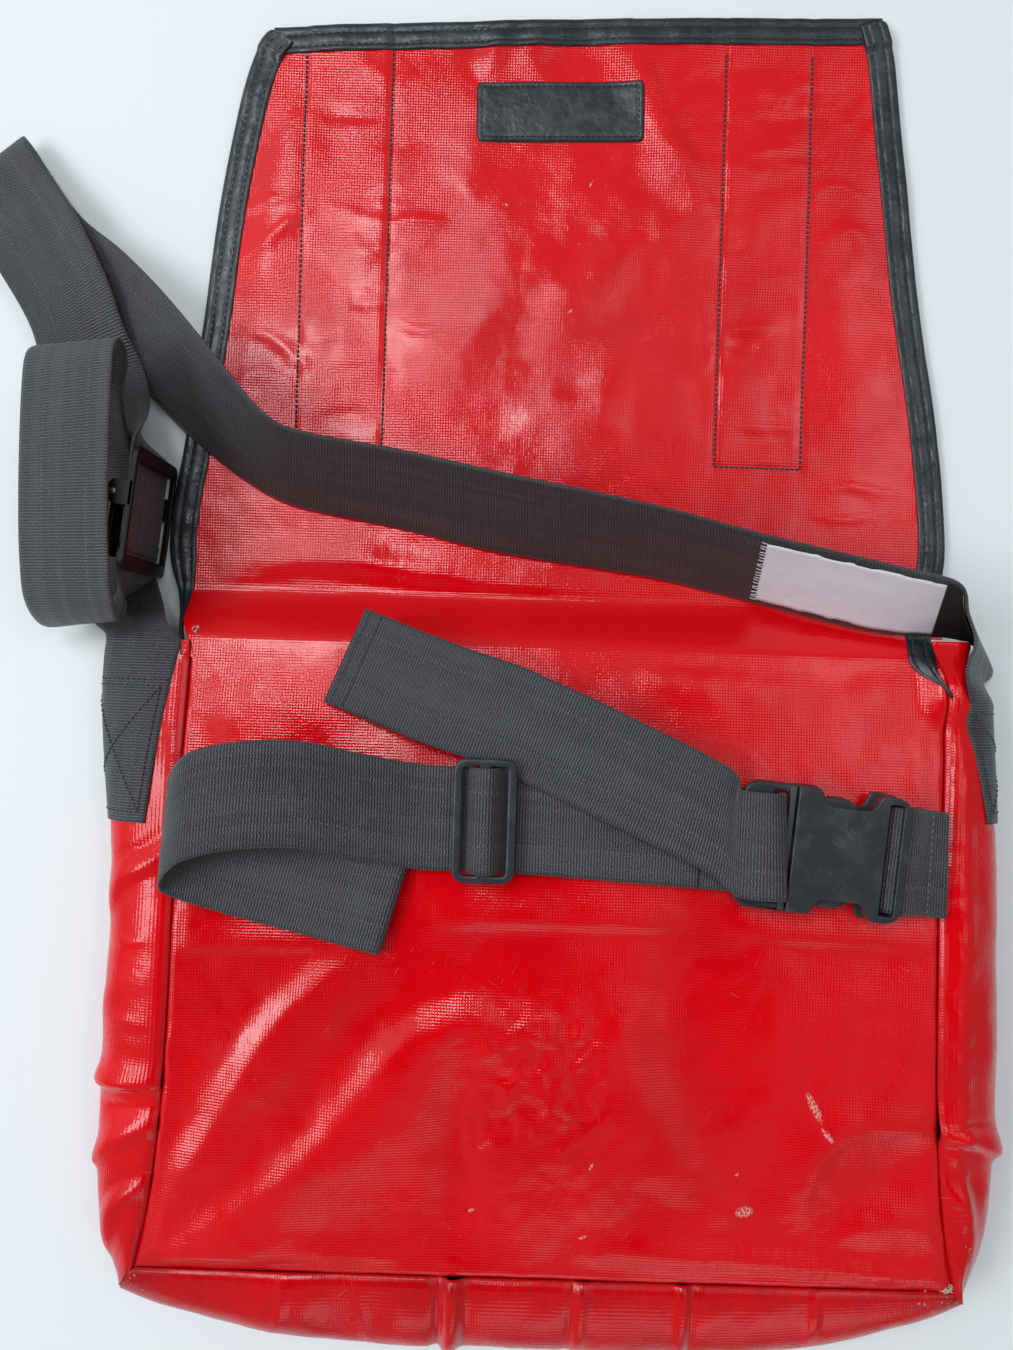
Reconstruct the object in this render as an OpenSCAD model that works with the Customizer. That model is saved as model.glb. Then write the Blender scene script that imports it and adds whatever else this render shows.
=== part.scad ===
// Messenger bag of truck tarpaulin, lying on its front panel with the flap laid open.
// Millimetres. +Y points to the flap's free edge and +Z up. The origin is the centre of
// the front panel's outer face. Places inside the modules are measured from the middle
// of the mouth, on the resting plane, and from_mouth() puts them in the bag's frame.

/* [Bag body] */
// Width of the front and back panels at the mouth
panel_w = 354; // [330:2:370]
// Height of the panels, from the mouth to the bottom seam
panel_h = 292; // [280:2:310]
// How much further each panel reaches sideways at its bottom corners
corner_flare = 16; // [8:1:20]
// Height of the back panel above the resting plane at the mouth
mouth_rise = 24; // [20:1:26]
// Height of the back panel's side edges halfway down
body_rise = 41; // [38:1:42]
// Height of the bottom seam
foot_rise = 33; // [28:1:36]
// How far the middle of the back panel sags below its side edges
crown_sag = 4; // [0:0.5:8]
// Sideways bulge of the gussets
side_bulge = 34; // [26:1:38]
// Bulge of the bottom panel
foot_bulge = 40; // [30:1:44]
// Bulge left at the pinched bottom corners
corner_bulge = 8; // [4:1:12]
// Thickness of the tarpaulin
tarp_t = 1.2; // [0.8:0.1:1.4]

/* [Flap] */
// Distance from the mouth at which the draped fold reaches the floor
fold_reach = 28; // [24:1:32]
// Height of the flap's underside above the floor, which its binding holds up
flap_lift = 1.6; // [1.6:0.1:2.2]
// Width of the rubber binding on each face
binding_w = 11; // [8:1:14]
// Width of a hook or loop strip
grip_w = 48; // [40:1:50]
// Thickness of a hook strip
hook_t = 1.4; // [0.8:0.1:1.5]
// Thickness of a loop strip
loop_t = 1.0; // [0.6:0.1:1.2]
// Length, width and thickness of the name patch
patch_size = [83, 30, 1.6];

/* [Webbing] */
// Width of the webbing
webbing_w = 48; // [44:1:48]
// Thickness of the webbing
webbing_t = 1.6; // [1.2:0.1:1.6]
// Gap left between webbing and the tarpaulin it is sewn to
sewn_gap = 0.35; // [0.3:0.05:0.5]
// Rows of the webbing solid for each point of its route
row_steps = 3; // [2:1:4]

/* [Buckles] */
// Thickness of the side release buckle
buckle_t = 14; // [12:1:15]
// Overall width of the side release buckle
buckle_w = 58; // [57:0.5:60]
// Angle at which the side release buckle lies across the bag
buckle_turn = -5; // [-6:0.5:-4]
// Length and width of the tri-glide
glide_size = [29, 56.6];
// Length and width of the strap adjuster
adjuster_size = [56, 54];
// Radius of the adjuster's lever pin
pin_r = 1.5; // [1.2:0.1:1.8]

/* [Hidden] */
$fn = 32;

tarp_red = [0.72, 0.03, 0.05];
webbing_grey = [0.11, 0.11, 0.12];
plastic_black = [0.03, 0.03, 0.035];

mouth_y = panel_h / 2;
side_steps = 14;
foot_steps = 18;
gusset_steps = 10;
corner_from = 0.85;

// ---- points, grids and sheets ----

function ease(t) = t * t * (3 - 2 * t);
function unit(p) = p / norm(p);
function mix(a, b, t) = a + (b - a) * t;

// A closed solid between two grids of points with the same rows and columns.
module shell(outer, inner, flip = false) {
    rows = len(outer);
    cols = len(outer[0]);
    half = rows * cols;
    function at(i, j) = i * cols + j;
    quads = [
        for (i = [0 : rows - 2], j = [0 : cols - 2])
            each [
                [at(i, j), at(i, j + 1), at(i + 1, j + 1), at(i + 1, j)],
                [half + at(i, j), half + at(i + 1, j), half + at(i + 1, j + 1), half + at(i, j + 1)]
            ],
        for (i = [0 : rows - 2])
            each [
                [at(i, 0), at(i + 1, 0), half + at(i + 1, 0), half + at(i, 0)],
                [at(i + 1, cols - 1), at(i, cols - 1), half + at(i, cols - 1), half + at(i + 1, cols - 1)]
            ],
        for (j = [0 : cols - 2])
            each [
                [at(0, j + 1), at(0, j), half + at(0, j), half + at(0, j + 1)],
                [at(rows - 1, j), at(rows - 1, j + 1), half + at(rows - 1, j + 1), half + at(rows - 1, j)]
            ]
    ];
    triangles = [for (q = quads) each [[q[0], q[1], q[2]], [q[0], q[2], q[3]]]];
    polyhedron(
        points = concat([for (row = outer) each row], [for (row = inner) each row]),
        faces = flip ? [for (f = triangles) [f[2], f[1], f[0]]] : triangles
    );
}

// The unit normal of a grid of points, on the side from which its rows and columns turn right.
function grid_normal(g, i, j) = unit(cross(
    g[min(i + 1, len(g) - 1)][j] - g[max(i - 1, 0)][j],
    g[i][min(j + 1, len(g[0]) - 1)] - g[i][max(j - 1, 0)]
));
function lifted(g, by) = [
    for (i = [0 : len(g) - 1])
        [for (j = [0 : len(g[0]) - 1]) g[i][j] + grid_normal(g, i, j) * by]
];

// ---- bag body: v runs from the mouth (0) to the bottom seam (1), u from left to right ----

function half_w(v) = panel_w / 2 + corner_flare * pow(v, 5);
function edge_z(v) = body_rise - (body_rise - (v < 0.5 ? mouth_rise : foot_rise)) * (1 - sin(180 * v));
function back_point(u, v) = [
    u * half_w(v),
    -panel_h * v,
    edge_z(v) - crown_sag * sin(180 * v) * (1 - u * u)
];
// Direction in which a seam faces: sideways, downwards, or turned 45 degrees at a corner.
function turn(k) = 45 * ease(max(0, (abs(k) - corner_from) / (1 - corner_from)));
function side_out(side, v) = [side * cos(turn(v)), -sin(turn(v))];
function foot_out(u) = [sign(u) * sin(turn(u)), -cos(turn(u))];
function side_swell(v) = corner_bulge + (side_bulge - corner_bulge) * (1 - pow(v, 8)) - 4 * pow(1 - v, 4);
function foot_swell(u) = corner_bulge + (foot_bulge - corner_bulge) * (1 - pow(u, 4));

// A point on the half ellipse that a gusset or the bottom panel makes between the back
// panel's seam (s = 0) and the front panel's seam (s = 1), moved out by lift.
function swell_point(seam, out, rise, swell, s, lift) =
    let (
        n = unit([rise / 2 * sin(180 * s), swell * cos(180 * s)]),
        off = swell * sin(180 * s) + n[0] * lift
    )
    [seam[0] + out[0] * off, seam[1] + out[1] * off, rise / 2 * (1 + cos(180 * s)) + n[1] * lift];
function side_point(side, v, s, lift) =
    swell_point([side * half_w(v), -panel_h * v], side_out(side, v), edge_z(v), side_swell(v), s, lift);
function foot_point(u, s, lift) =
    swell_point([u * half_w(1), -panel_h], foot_out(u), edge_z(1), foot_swell(u), s, lift);

function side_grid(side, lift) = [
    for (i = [0 : side_steps])
        [for (j = [0 : gusset_steps]) side_point(side, i / side_steps, j / gusset_steps, lift)]
];
function foot_grid(lift) = [
    for (i = [0 : foot_steps])
        [for (j = [0 : gusset_steps]) foot_point(2 * i / foot_steps - 1, j / gusset_steps, lift)]
];
function back_grid(drop) = [
    for (i = [0 : side_steps])
        [for (j = [0 : foot_steps]) back_point(2 * j / foot_steps - 1, i / side_steps) - [0, 0, drop]]
];

module from_mouth() {
    translate([0, mouth_y, 0]) children();
}

module back_panel() {
    color(tarp_red) from_mouth() shell(back_grid(0), back_grid(tarp_t));
}

module gusset(side) {
    color(tarp_red) from_mouth() shell(side_grid(side, 0), side_grid(side, -tarp_t), side < 0);
}

module bottom_panel() {
    color(tarp_red) from_mouth() shell(foot_grid(0), foot_grid(-tarp_t), true);
}

// Middle of the left and right strips across the bag
grip_x = [-113, 95];
// First and last places of the loop strips and of the hook strips along the bag
loop_y = [-282, -94];
hook_y = [95, 297];
grip_gap = 0.1;

// The front panel lies flat. It steps up over the two loop strips sewn to its outer face.
module front_panel() {
    left_edge = [for (i = [0 : side_steps]) [-half_w(i / side_steps), -panel_h * i / side_steps]];
    right_edge = [for (p = left_edge) [-p[0], p[1]]];
    foot_edge = [for (j = [1 : foot_steps - 1]) [(2 * j / foot_steps - 1) * half_w(1), -panel_h]];
    outline = concat(left_edge, foot_edge, [for (i = [side_steps : -1 : 0]) right_edge[i]]);
    color(tarp_red) from_mouth() difference() {
        union() {
            linear_extrude(tarp_t) polygon(outline);
            for (x = grip_x) grip_strip(x, loop_y, tarp_t + grip_gap, loop_t + tarp_t);
        }
        for (x = grip_x) translate([0, 0, -1]) grip_strip(x, loop_y, grip_gap, loop_t + grip_gap + 1);
    }
}

// ---- hook and loop ----

module grip_strip(x, span, grow, t) {
    translate([x - grip_w / 2 - grow, span[0] - grow, 0])
        cube([grip_w + 2 * grow, span[1] - span[0] + 2 * grow, t]);
}

module loop_strip(x) {
    color([0.06, 0.06, 0.06]) from_mouth() grip_strip(x, loop_y, 0, loop_t);
}

module hook_strip(x) {
    color([0.05, 0.05, 0.05]) from_mouth()
        translate([0, 0, flap_lift - grip_gap - hook_t]) grip_strip(x, hook_y, 0, hook_t);
}

// ---- flap ----

// Profile of the fold that drapes from the mouth to the floor: share of fold_reach, height
fold_profile = [[0, mouth_rise], [0.22, 22.4], [0.45, 17.5], [0.68, 10.6], [0.86, 5.4],
    [1, flap_lift + tarp_t]];
// Upright thickness of the tarpaulin at each of those points
fold_depth = [tarp_t, 1.5, 2.0, 2.1, 1.8, tarp_t];
fold_flare = 11;

// Outline of the flap: its left side, free edge and right side, clockwise from the mouth
flap_left = [[-189, 28.3], [-194, 48], [-192, 75], [-188, 100], [-181, 160], [-174, 222],
    [-165, 273], [-158, 297], [-149, 308]];
flap_edge = [[-60, 313], [40, 318]];
flap_right = [[140, 321], [151, 317], [156, 300], [162, 253], [171, 184], [182, 120], [187, 80],
    [188, 52], [186, 28.3]];
flap_outline = concat(flap_left, flap_edge, flap_right);
binding_t = 4.4;
binding_out = 1.2;

module flap_fold() {
    function fold_grid(drop) = [
        for (k = [len(fold_profile) - 1 : -1 : 0])
            let (p = fold_profile[k], w = panel_w / 2 + fold_flare * p[0])
            [for (j = [0 : foot_steps])
                [(2 * j / foot_steps - 1) * w, fold_reach * p[0], p[1] - drop * fold_depth[k]]]
    ];
    color(tarp_red) from_mouth() shell(fold_grid(0), fold_grid(1));
}

module flap_panel() {
    color(tarp_red) from_mouth() translate([0, 0, flap_lift]) linear_extrude(tarp_t) polygon(flap_outline);
}

// Outward direction at a point of the flap's outline.
function flap_normal(k) =
    let (d = flap_outline[min(k + 1, len(flap_outline) - 1)] - flap_outline[max(k - 1, 0)])
    unit([-d[1], d[0]]);
function flap_offset(k, by) = flap_outline[k] + flap_normal(k) * by;

// Rubber folded round the flap's edge between two points of its outline.
module binding(first, last) {
    strip = concat(
        [for (k = [first : last]) flap_offset(k, binding_out)],
        [for (k = [last : -1 : first]) flap_offset(k, -binding_w)]
    );
    color(plastic_black) from_mouth() difference() {
        linear_extrude(binding_t) polygon(strip);
        translate([0, 0, flap_lift]) linear_extrude(tarp_t) polygon(flap_outline);
    }
}

module rounded_plate(size, r, t) {
    linear_extrude(t) union() {
        square([size[0] - 2 * r, size[1]], center = true);
        square([size[0], size[1] - 2 * r], center = true);
        for (sx = [-1, 1], sy = [-1, 1])
            translate([sx * (size[0] / 2 - r), sy * (size[1] / 2 - r)]) circle(r);
    }
}

module name_patch() {
    patch_place = [-8, 271, flap_lift + tarp_t];
    color([0.07, 0.07, 0.08]) from_mouth() translate(patch_place) rotate(1.8)
        rounded_plate(patch_size, 2, patch_size[2]);
}

// ---- webbing ----
// A route is a list of [edge, other edge] places, and the webbing lies between them.

function spline(p, k, f) =
    let (a = p[max(k - 1, 0)], b = p[k], c = p[min(k + 1, len(p) - 1)], d = p[min(k + 2, len(p) - 1)])
    b + (c - a) * f / 2 + (a * 2 - b * 5 + c * 4 - d) * f * f / 2 + (b * 3 - a - c * 3 + d) * f * f * f / 2;
function webbing_row(route, t, width, cols) =
    let (
        k = min(floor(t), len(route) - 2),
        near = spline([for (p = route) p[0]], k, t - k),
        far = spline([for (p = route) p[1]], k, t - k),
        middle = (near + far) / 2,
        across = unit(far - near) * width
    )
    [for (j = [0 : cols - 1]) middle + across * (j / (cols - 1) - 0.5)];
function webbing_rows(route, cols) = [
    for (i = [0 : (len(route) - 1) * row_steps]) webbing_row(route, i / row_steps, webbing_w, cols)
];

module webbing(rows, t = webbing_t) {
    color(webbing_grey) from_mouth() shell(lifted(rows, t / 2), lifted(rows, -t / 2));
}

// Webbing sewn round a gusset, between two places down the bag, in columns that match
// the gusset's own.
sewn_from = 1;
sewn_to = 8;
sewn_rows = 6;
// The webbing keeps the gusset's shape until this far past the mouth
sewn_past = 3;
function sewn_patch(side, low) = [
    for (i = [0 : sewn_rows])
        let (v = mix(low, sewn_past, i / sewn_rows) / -panel_h)
        [for (j = [sewn_from : sewn_to])
            side_point(side, v, j / gusset_steps, sewn_gap + webbing_t / 2)]
];
strap_cols = sewn_to - sewn_from + 1;

// The shoulder strap leaves the right gusset, arcs over the mouth's corner, crosses the
// flap, folds back beyond its left edge and turns on edge into the adjuster.
shoulder_route = [
    [[189, 13, 46], [210, 7, 2]],
    [[182, 27, 47], [203, 13, 8]],
    [[174, 38, 57], [187, 16, 16]],
    [[151, 44, 54], [152, 18, 15]],
    [[95, 57, 43], [98, 31, 6]],
    [[38, 70, 41], [43, 43, 7]],
    [[-32, 83, 39], [-31, 53, 7]],
    [[-78, 91, 39], [-81, 64, 7]],
    [[-125, 98, 41], [-131, 73, 8]],
    [[-142, 106, 42], [-155, 84, 9]],
    [[-160, 124, 38], [-180, 103, 10]],
    [[-178, 147, 33], [-203, 122, 6]],
    [[-197, 169, 27], [-223, 138, 4]],
    [[-218, 189, 20], [-245, 155, 3]],
    [[-240, 208, 13], [-270, 171, 3]],
    [[-258, 230, 7], [-294, 199, 3]],
    [[-268, 244, 4], [-306, 215, 3]],
    [[-271, 248, 8], [-309, 219, 6]],
    [[-268, 244, 12], [-306, 215, 9]],
    [[-257, 229, 14], [-295, 200, 10]],
    [[-243, 211, 18], [-282, 183, 11]],
    [[-224, 178, 23], [-266, 157, 10]],
    [[-215, 153, 19], [-260, 138, 7]],
    [[-208, 136, 13], [-254, 126, 3]],
    [[-202, 118, 20], [-245, 112, 3]],
    [[-198, 105, 35], [-231, 101, 4]],
    [[-196, 95, 50], [-203, 94, 5]],
    [[-196.7, 89, 53.4], [-196.7, 89, 5.4]],
    [[-197.6, 78, 53.4], [-197.6, 78, 5.4]],
    [[-198.7, 65, 53.4], [-198.7, 65, 5.4]]
];
shoulder_patch = sewn_patch(1, -72);

// The anchor strap leaves the left gusset, runs along the floor, stands up as a loop over
// the shoulder strap's end and turns on edge into the adjuster.
anchor_route = [
    [[-189, 10, 25], [-229, 10, 5]],
    [[-194, 20, 13], [-241, 20, 3]],
    [[-200, 31, 5], [-248, 31, 2]],
    [[-206, 46, 3], [-254, 46, 2]],
    [[-208, 74, 6], [-255, 76, 2]],
    [[-209, 96, 24], [-252, 96, 4]],
    [[-208, 114, 37], [-250, 113, 14]],
    [[-204, 129, 42], [-249, 127, 24]],
    [[-204, 136, 50], [-249, 136, 34]],
    [[-205, 132, 57], [-250, 131, 43]],
    [[-204, 112, 61], [-250, 110, 47]],
    [[-204, 70, 62], [-249, 70, 48]],
    [[-204, 38, 59], [-249, 38, 45]],
    [[-206, 19, 48], [-250, 18, 35]],
    [[-208, 11, 36], [-248, 8, 18]],
    [[-205, 17, 36], [-238, 12, 9]],
    [[-203, 26, 46], [-219, 22, 7]],
    [[-202.8, 33, 53.4], [-202.8, 33, 5.4]],
    [[-201.6, 40.5, 53.4], [-201.6, 40.5, 5.4]],
    [[-199.8, 48, 53.4], [-199.8, 48, 5.4]]
];
anchor_patch = sewn_patch(-1, -85);

// The waist strap is sewn at the left seam, runs right, folds back, curls over itself
// and threads the tri-glide on its way to the buckle's plug.
waist_route = [
    [[-177, -66, 41], [-177, -113, 41.5]],
    [[-140, -70, 42], [-146, -117, 42]],
    [[-100, -81, 42], [-112, -128, 42]],
    [[-72, -91, 42], [-85, -137, 42]],
    [[-68, -92, 44], [-81, -138, 44]],
    [[-72, -91, 46], [-85, -137, 46]],
    [[-110, -81, 46.5], [-123, -128, 46.5]],
    [[-139, -74, 49], [-151, -121, 48]],
    [[-163, -67, 54], [-170, -114, 52]],
    [[-172, -61, 62], [-177, -109, 58]],
    [[-167, -52, 71], [-171, -99, 66]],
    [[-157, -45, 74], [-160, -92, 70]],
    [[-136, -41, 71], [-139, -88, 66]],
    [[-115, -41, 64], [-116, -88, 60]],
    [[-92, -46, 55], [-92, -93, 52]],
    [[-66, -50.5, 45.5], [-66, -98.5, 45.5]],
    [[-50, -51.3, 43.6], [-50, -99.3, 43.6]],
    [[-44, -51.3, 43.9], [-44, -99.3, 43.9]],
    [[-40, -51.3, 48], [-40, -99.3, 48]],
    [[-37.5, -51.3, 51.4], [-37.5, -99.3, 51.4]],
    [[-34, -51.3, 52.2], [-34, -99.3, 52.2]],
    [[-30.5, -51.3, 51.4], [-30.5, -99.3, 51.4]],
    [[-28, -51.3, 48], [-28, -99.3, 48]],
    [[-24, -51.3, 43.9], [-24, -99.3, 43.9]],
    [[-18, -51.7, 43.4], [-18, -99.7, 43.4]],
    [[10, -53, 43], [10, -101, 43]],
    [[40, -54.7, 42.4], [39, -102.7, 42.4]],
    [[67, -56.3, 42], [65, -104.2, 42]]
];

// The free tail comes up round the plug's bar and lies back over the strap.
tail_route = [
    [[67.4, -56.3, 42], [65.4, -104.2, 42]],
    [[82.2, -57, 41.8], [78.1, -104.8, 41.8]],
    [[95.7, -58.2, 41.8], [91.5, -106, 41.8]],
    [[99.1, -58.5, 43.4], [94.9, -106.3, 43.4]],
    [[99.7, -58.5, 46], [95.5, -106.3, 46]],
    [[99.1, -58.5, 48.6], [94.9, -106.3, 48.6]],
    [[95.7, -58.2, 50.2], [91.5, -106, 50.2]],
    [[83.7, -57.1, 50.4], [79.6, -105, 50.4]],
    [[75, -53, 50.2], [67.5, -100.5, 50.2]],
    [[68, -43, 49.4], [53, -89, 49.4]],
    [[44, -32, 47.4], [27, -77, 47.6]],
    [[14, -19, 44.8], [-3, -63, 46]],
    [[-6, -11, 43.2], [-21, -55, 45.7]],
    [[-20, -5, 41.6], [-35, -49.5, 45]],
    [[-45, 3, 38], [-62, -42, 41.5]],
    [[-65, 10, 34.5], [-82, -35, 37]],
    [[-93, 20, 31], [-111, -24, 32.5]]
];

// The short strap on the right goes round the socket's bar, with both ends sewn at the seam.
short_route = [
    [[178, -66, 41.2], [178, -114, 41.5]],
    [[169, -64.8, 40.6], [167, -112.7, 40.8]],
    [[160.4, -63.8, 41.4], [156.3, -111.7, 41.4]],
    [[153.5, -63.2, 41.6], [149.3, -111.1, 41.6]],
    [[150.3, -63, 43.4], [146.1, -110.8, 43.4]],
    [[149.7, -62.9, 46], [145.5, -110.7, 46]],
    [[150.3, -63, 48.6], [146.1, -110.8, 48.6]],
    [[153.5, -63.2, 50.4], [149.3, -111.1, 50.4]],
    [[160.4, -63.8, 50.2], [156.3, -111.7, 50.2]],
    [[169, -64.8, 46], [167, -112.7, 46]],
    [[178, -66, 43.4], [178, -114, 43.6]]
];

module shoulder_strap() {
    webbing(concat(shoulder_patch, webbing_rows(shoulder_route, strap_cols)));
}

module anchor_strap() {
    webbing(concat(anchor_patch, webbing_rows(anchor_route, strap_cols)));
}

module waist_strap_run() {
    webbing(webbing_rows(waist_route, 3));
}

module waist_strap_tail() {
    webbing(webbing_rows(tail_route, 3));
}

module waist_strap_short() {
    webbing(webbing_rows(short_route, 3));
}

// The label lies on the shoulder strap between two places on its route.
label_w = 44;
label_t = 0.4;
label_gap = 0.3;
label_from = 1.5;
label_to = 3.95;
label_rows = 12;

module care_label() {
    face = [
        for (i = [0 : label_rows])
            webbing_row(shoulder_route, mix(label_from, label_to, i / label_rows), label_w, strap_cols)
    ];
    low = webbing_t / 2 + label_gap;
    color([0.85, 0.85, 0.84]) from_mouth() shell(lifted(face, low + label_t), lifted(face, low));
}

// ---- strap adjuster: it stands on its side, with its length along X in its own frame ----

adjuster_place = [-198, 61, 29.4];
adjuster_turn = [-90, 0, 84];
adjuster_corner = 4;
adjuster_plate_t = 3;
adjuster_opening = [42, 49.6];
// Length and thickness of the two cheeks that hold the pin, and how far they rise past it
cheek_size = [12, 2];
cheek_over = 3;
// The pin's place along the adjuster and above its plate
pin_x = 6;
pin_z = 6.5;
lever_w = 36;
lever_reach = 28;

module adjuster_at() {
    from_mouth() translate(adjuster_place) rotate(adjuster_turn) children();
}

module across_pin(r, length) {
    translate([pin_x, length / 2, pin_z]) rotate([90, 0, 0]) cylinder(r = r, h = length);
}

module adjuster_frame() {
    color(plastic_black) adjuster_at() difference() {
        union() {
            difference() {
                translate([0, 0, -adjuster_plate_t])
                    rounded_plate(adjuster_size, adjuster_corner, adjuster_plate_t);
                translate([-adjuster_opening[0] / 2, -adjuster_opening[1] / 2, -adjuster_plate_t - 1])
                    cube([adjuster_opening[0], adjuster_opening[1], adjuster_plate_t + 2]);
            }
            for (side = [-1, 1])
                translate([
                    pin_x - cheek_size[0] / 2,
                    side * (adjuster_size[1] - cheek_size[1]) / 2 - cheek_size[1] / 2,
                    -adjuster_plate_t
                ])
                    cube([cheek_size[0], cheek_size[1], adjuster_plate_t + pin_z + cheek_over]);
        }
        across_pin(pin_r, adjuster_size[1] + 2);
    }
}

module adjuster_pin() {
    press = 0.02;
    color([0.35, 0.35, 0.36]) adjuster_at() across_pin(pin_r - press, adjuster_size[1]);
}

module adjuster_lever() {
    cam_r = 4;
    plate_t = 2.5;
    play = 0.1;
    color(plastic_black) adjuster_at() difference() {
        union() {
            across_pin(cam_r, lever_w);
            translate([pin_x - lever_reach, -lever_w / 2, pin_z + cam_r - plate_t])
                cube([lever_reach, lever_w, plate_t]);
            translate([pin_x - lever_reach, 0, pin_z + cam_r - plate_t / 2]) rotate([90, 0, 0])
                translate([0, 0, -lever_w / 2]) cylinder(r = plate_t / 2, h = lever_w);
        }
        across_pin(pin_r + play, lever_w + 2);
    }
}

// ---- side release buckle, with X along its middle line, level with the mouth's middle ----

// The middle of the buckle, and the height of its middle line
buckle_middle = [120, -84.4];
buckle_z = 46.5;
// Thickness of the bars that webbing goes round, and half the length of their slots
bar_t = 5;
slot_half = 25;

module at_buckle() {
    from_mouth() translate([buckle_middle[0], buckle_middle[1], buckle_z]) rotate(buckle_turn)
        translate([-buckle_middle[0], 0, 0]) children();
}

// A block between two places along X, centred on the buckle's middle line.
module block(x0, x1, width, t) {
    translate([x0, -width / 2, -t / 2]) cube([x1 - x0, width, t]);
}

// The socket's places along X: its mouth, both ends of its side windows, its slot and its bar's end
socket_x = [104.5, 119.5, 138.5, 146, 152, 157.5];
// Half the width left between the two side windows
waist_half = 20;
cavity_t = 9.4;
cavity_wall = 2;

// The socket is open at its mouth and at its two side windows, where the plug's arms show.
module buckle_socket() {
    bevel = 5;
    above_bar = buckle_t - bar_t;
    color(plastic_black) at_buckle() difference() {
        union() {
            block(socket_x[0], socket_x[1], buckle_w, buckle_t);
            block(socket_x[1], socket_x[2], 2 * waist_half, buckle_t);
            for (side = [-1, 1], k = [1, 2])
                translate([socket_x[k], side * waist_half, -buckle_t / 2])
                    window_corner(side, k == 1 ? 1 : -1);
            difference() {
                block(socket_x[2], socket_x[5], buckle_w, buckle_t);
                for (side = [-1, 1])
                    translate([socket_x[5], side * buckle_w / 2, 0]) rotate(45)
                        block(-bevel / 2, bevel / 2, bevel, buckle_t + 2);
            }
        }
        block(socket_x[0] - 1, socket_x[2] - 1, buckle_w - 2 * cavity_wall, cavity_t);
        block(socket_x[3], socket_x[4], 2 * slot_half, buckle_t + 2);
        for (side = [-1, 1])
            translate([0, 0, side * (bar_t + above_bar) / 2])
                block(socket_x[3], socket_x[5] + 1, 2 * slot_half, above_bar);
    }
}

// A small fillet block where a window meets the wide ends of the socket.
module window_corner(side, dir) {
    r = 4;
    linear_extrude(buckle_t) difference() {
        polygon([[0, 0], [dir * r, 0], [0, side * r]]);
        translate([dir * r, side * r]) circle(r);
    }
}

// The plug's places along X: both sides of its bar, its slot's end, its head's end and its tongue's tip
plug_x = [81.5, 94.5, 101.5, 104.2, 134.5];
rail_size = [4.5, 10];
head_t = 8;
tongue_w = 12;

module buckle_plug() {
    rail_end = plug_x[0] - 2;
    color(plastic_black) at_buckle() union() {
        block(plug_x[0], plug_x[1], 2 * slot_half + 1, bar_t);
        for (side = [-1, 1])
            translate([0, side * (buckle_w - rail_size[0]) / 2, 0])
                block(rail_end, plug_x[3], rail_size[0], rail_size[1]);
        block(plug_x[2], plug_x[3], buckle_w, head_t);
        block(plug_x[3] - 1, plug_x[4], tongue_w, bar_t);
    }
}

// Outline of a spring arm, from its root to the barb that catches behind the socket's mouth
arm_outline = [[105.1, 17.5], [105.1, 23], [120, 24], [122, 24.8], [127.5, 24.8], [133, 21],
    [134.2, 17.5], [132.5, 15], [127, 15.5], [123, 18], [115.5, 18.6]];

// One of the plug's two spring arms. The plug's tongue and head carry it in the socket's cavity.
module buckle_arm(side) {
    arm_t = 6;
    color(plastic_black) at_buckle() translate([0, 0, -arm_t / 2]) linear_extrude(arm_t)
        polygon([for (p = arm_outline) [p[0], side * p[1]]]);
}

// ---- tri-glide ----

glide_place = [-34, -75.3, 46.9];

module tri_glide() {
    end_bar = 4.5;
    middle_bar = 5;
    corner = 5;
    t = 3.2;
    slot = (glide_size[0] - 2 * end_bar - middle_bar) / 2;
    slot_length = 49.2;
    color(plastic_black) from_mouth() translate(glide_place) difference() {
        rounded_plate(glide_size, corner, t);
        for (side = [-1, 1])
            translate([side * (middle_bar + slot) / 2 - slot / 2, -slot_length / 2, -1])
                cube([slot, slot_length, t + 2]);
    }
}

front_panel();
back_panel();
gusset(-1);  // left_gusset
gusset(1);  // right_gusset
bottom_panel();
loop_strip(grip_x[0]);  // loop_strip_left
loop_strip(grip_x[1]);  // loop_strip_right
flap_fold();
flap_panel();
hook_strip(grip_x[0]);  // hook_strip_left
hook_strip(grip_x[1]);  // hook_strip_right
binding(0, 8);  // binding_left
binding(8, 11);  // binding_edge
binding(11, 19);  // binding_right
name_patch();
shoulder_strap();
care_label();
anchor_strap();
adjuster_frame();
adjuster_pin();
adjuster_lever();
waist_strap_run();
waist_strap_tail();
waist_strap_short();
tri_glide();
buckle_socket();
buckle_plug();
buckle_arm(1);  // buckle_arm_upper
buckle_arm(-1);  // buckle_arm_lower
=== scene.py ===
"""The looks of a tarpaulin messenger bag that lies on its front panel with its flap laid open.

Lengths in the tables are millimetres from the middle of the bag's mouth on the resting plane,
as in the CAD source, and in_frame() turns them into the frame's metres. Places on the bag that
were read from the view are pixels of the 1013 x 1350 frame, and seen() turns them into places.
"""
import math

import bpy
import numpy as np
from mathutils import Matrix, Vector
from mathutils.bvhtree import BVHTree
from mathutils.geometry import tessellate_polygon


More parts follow.
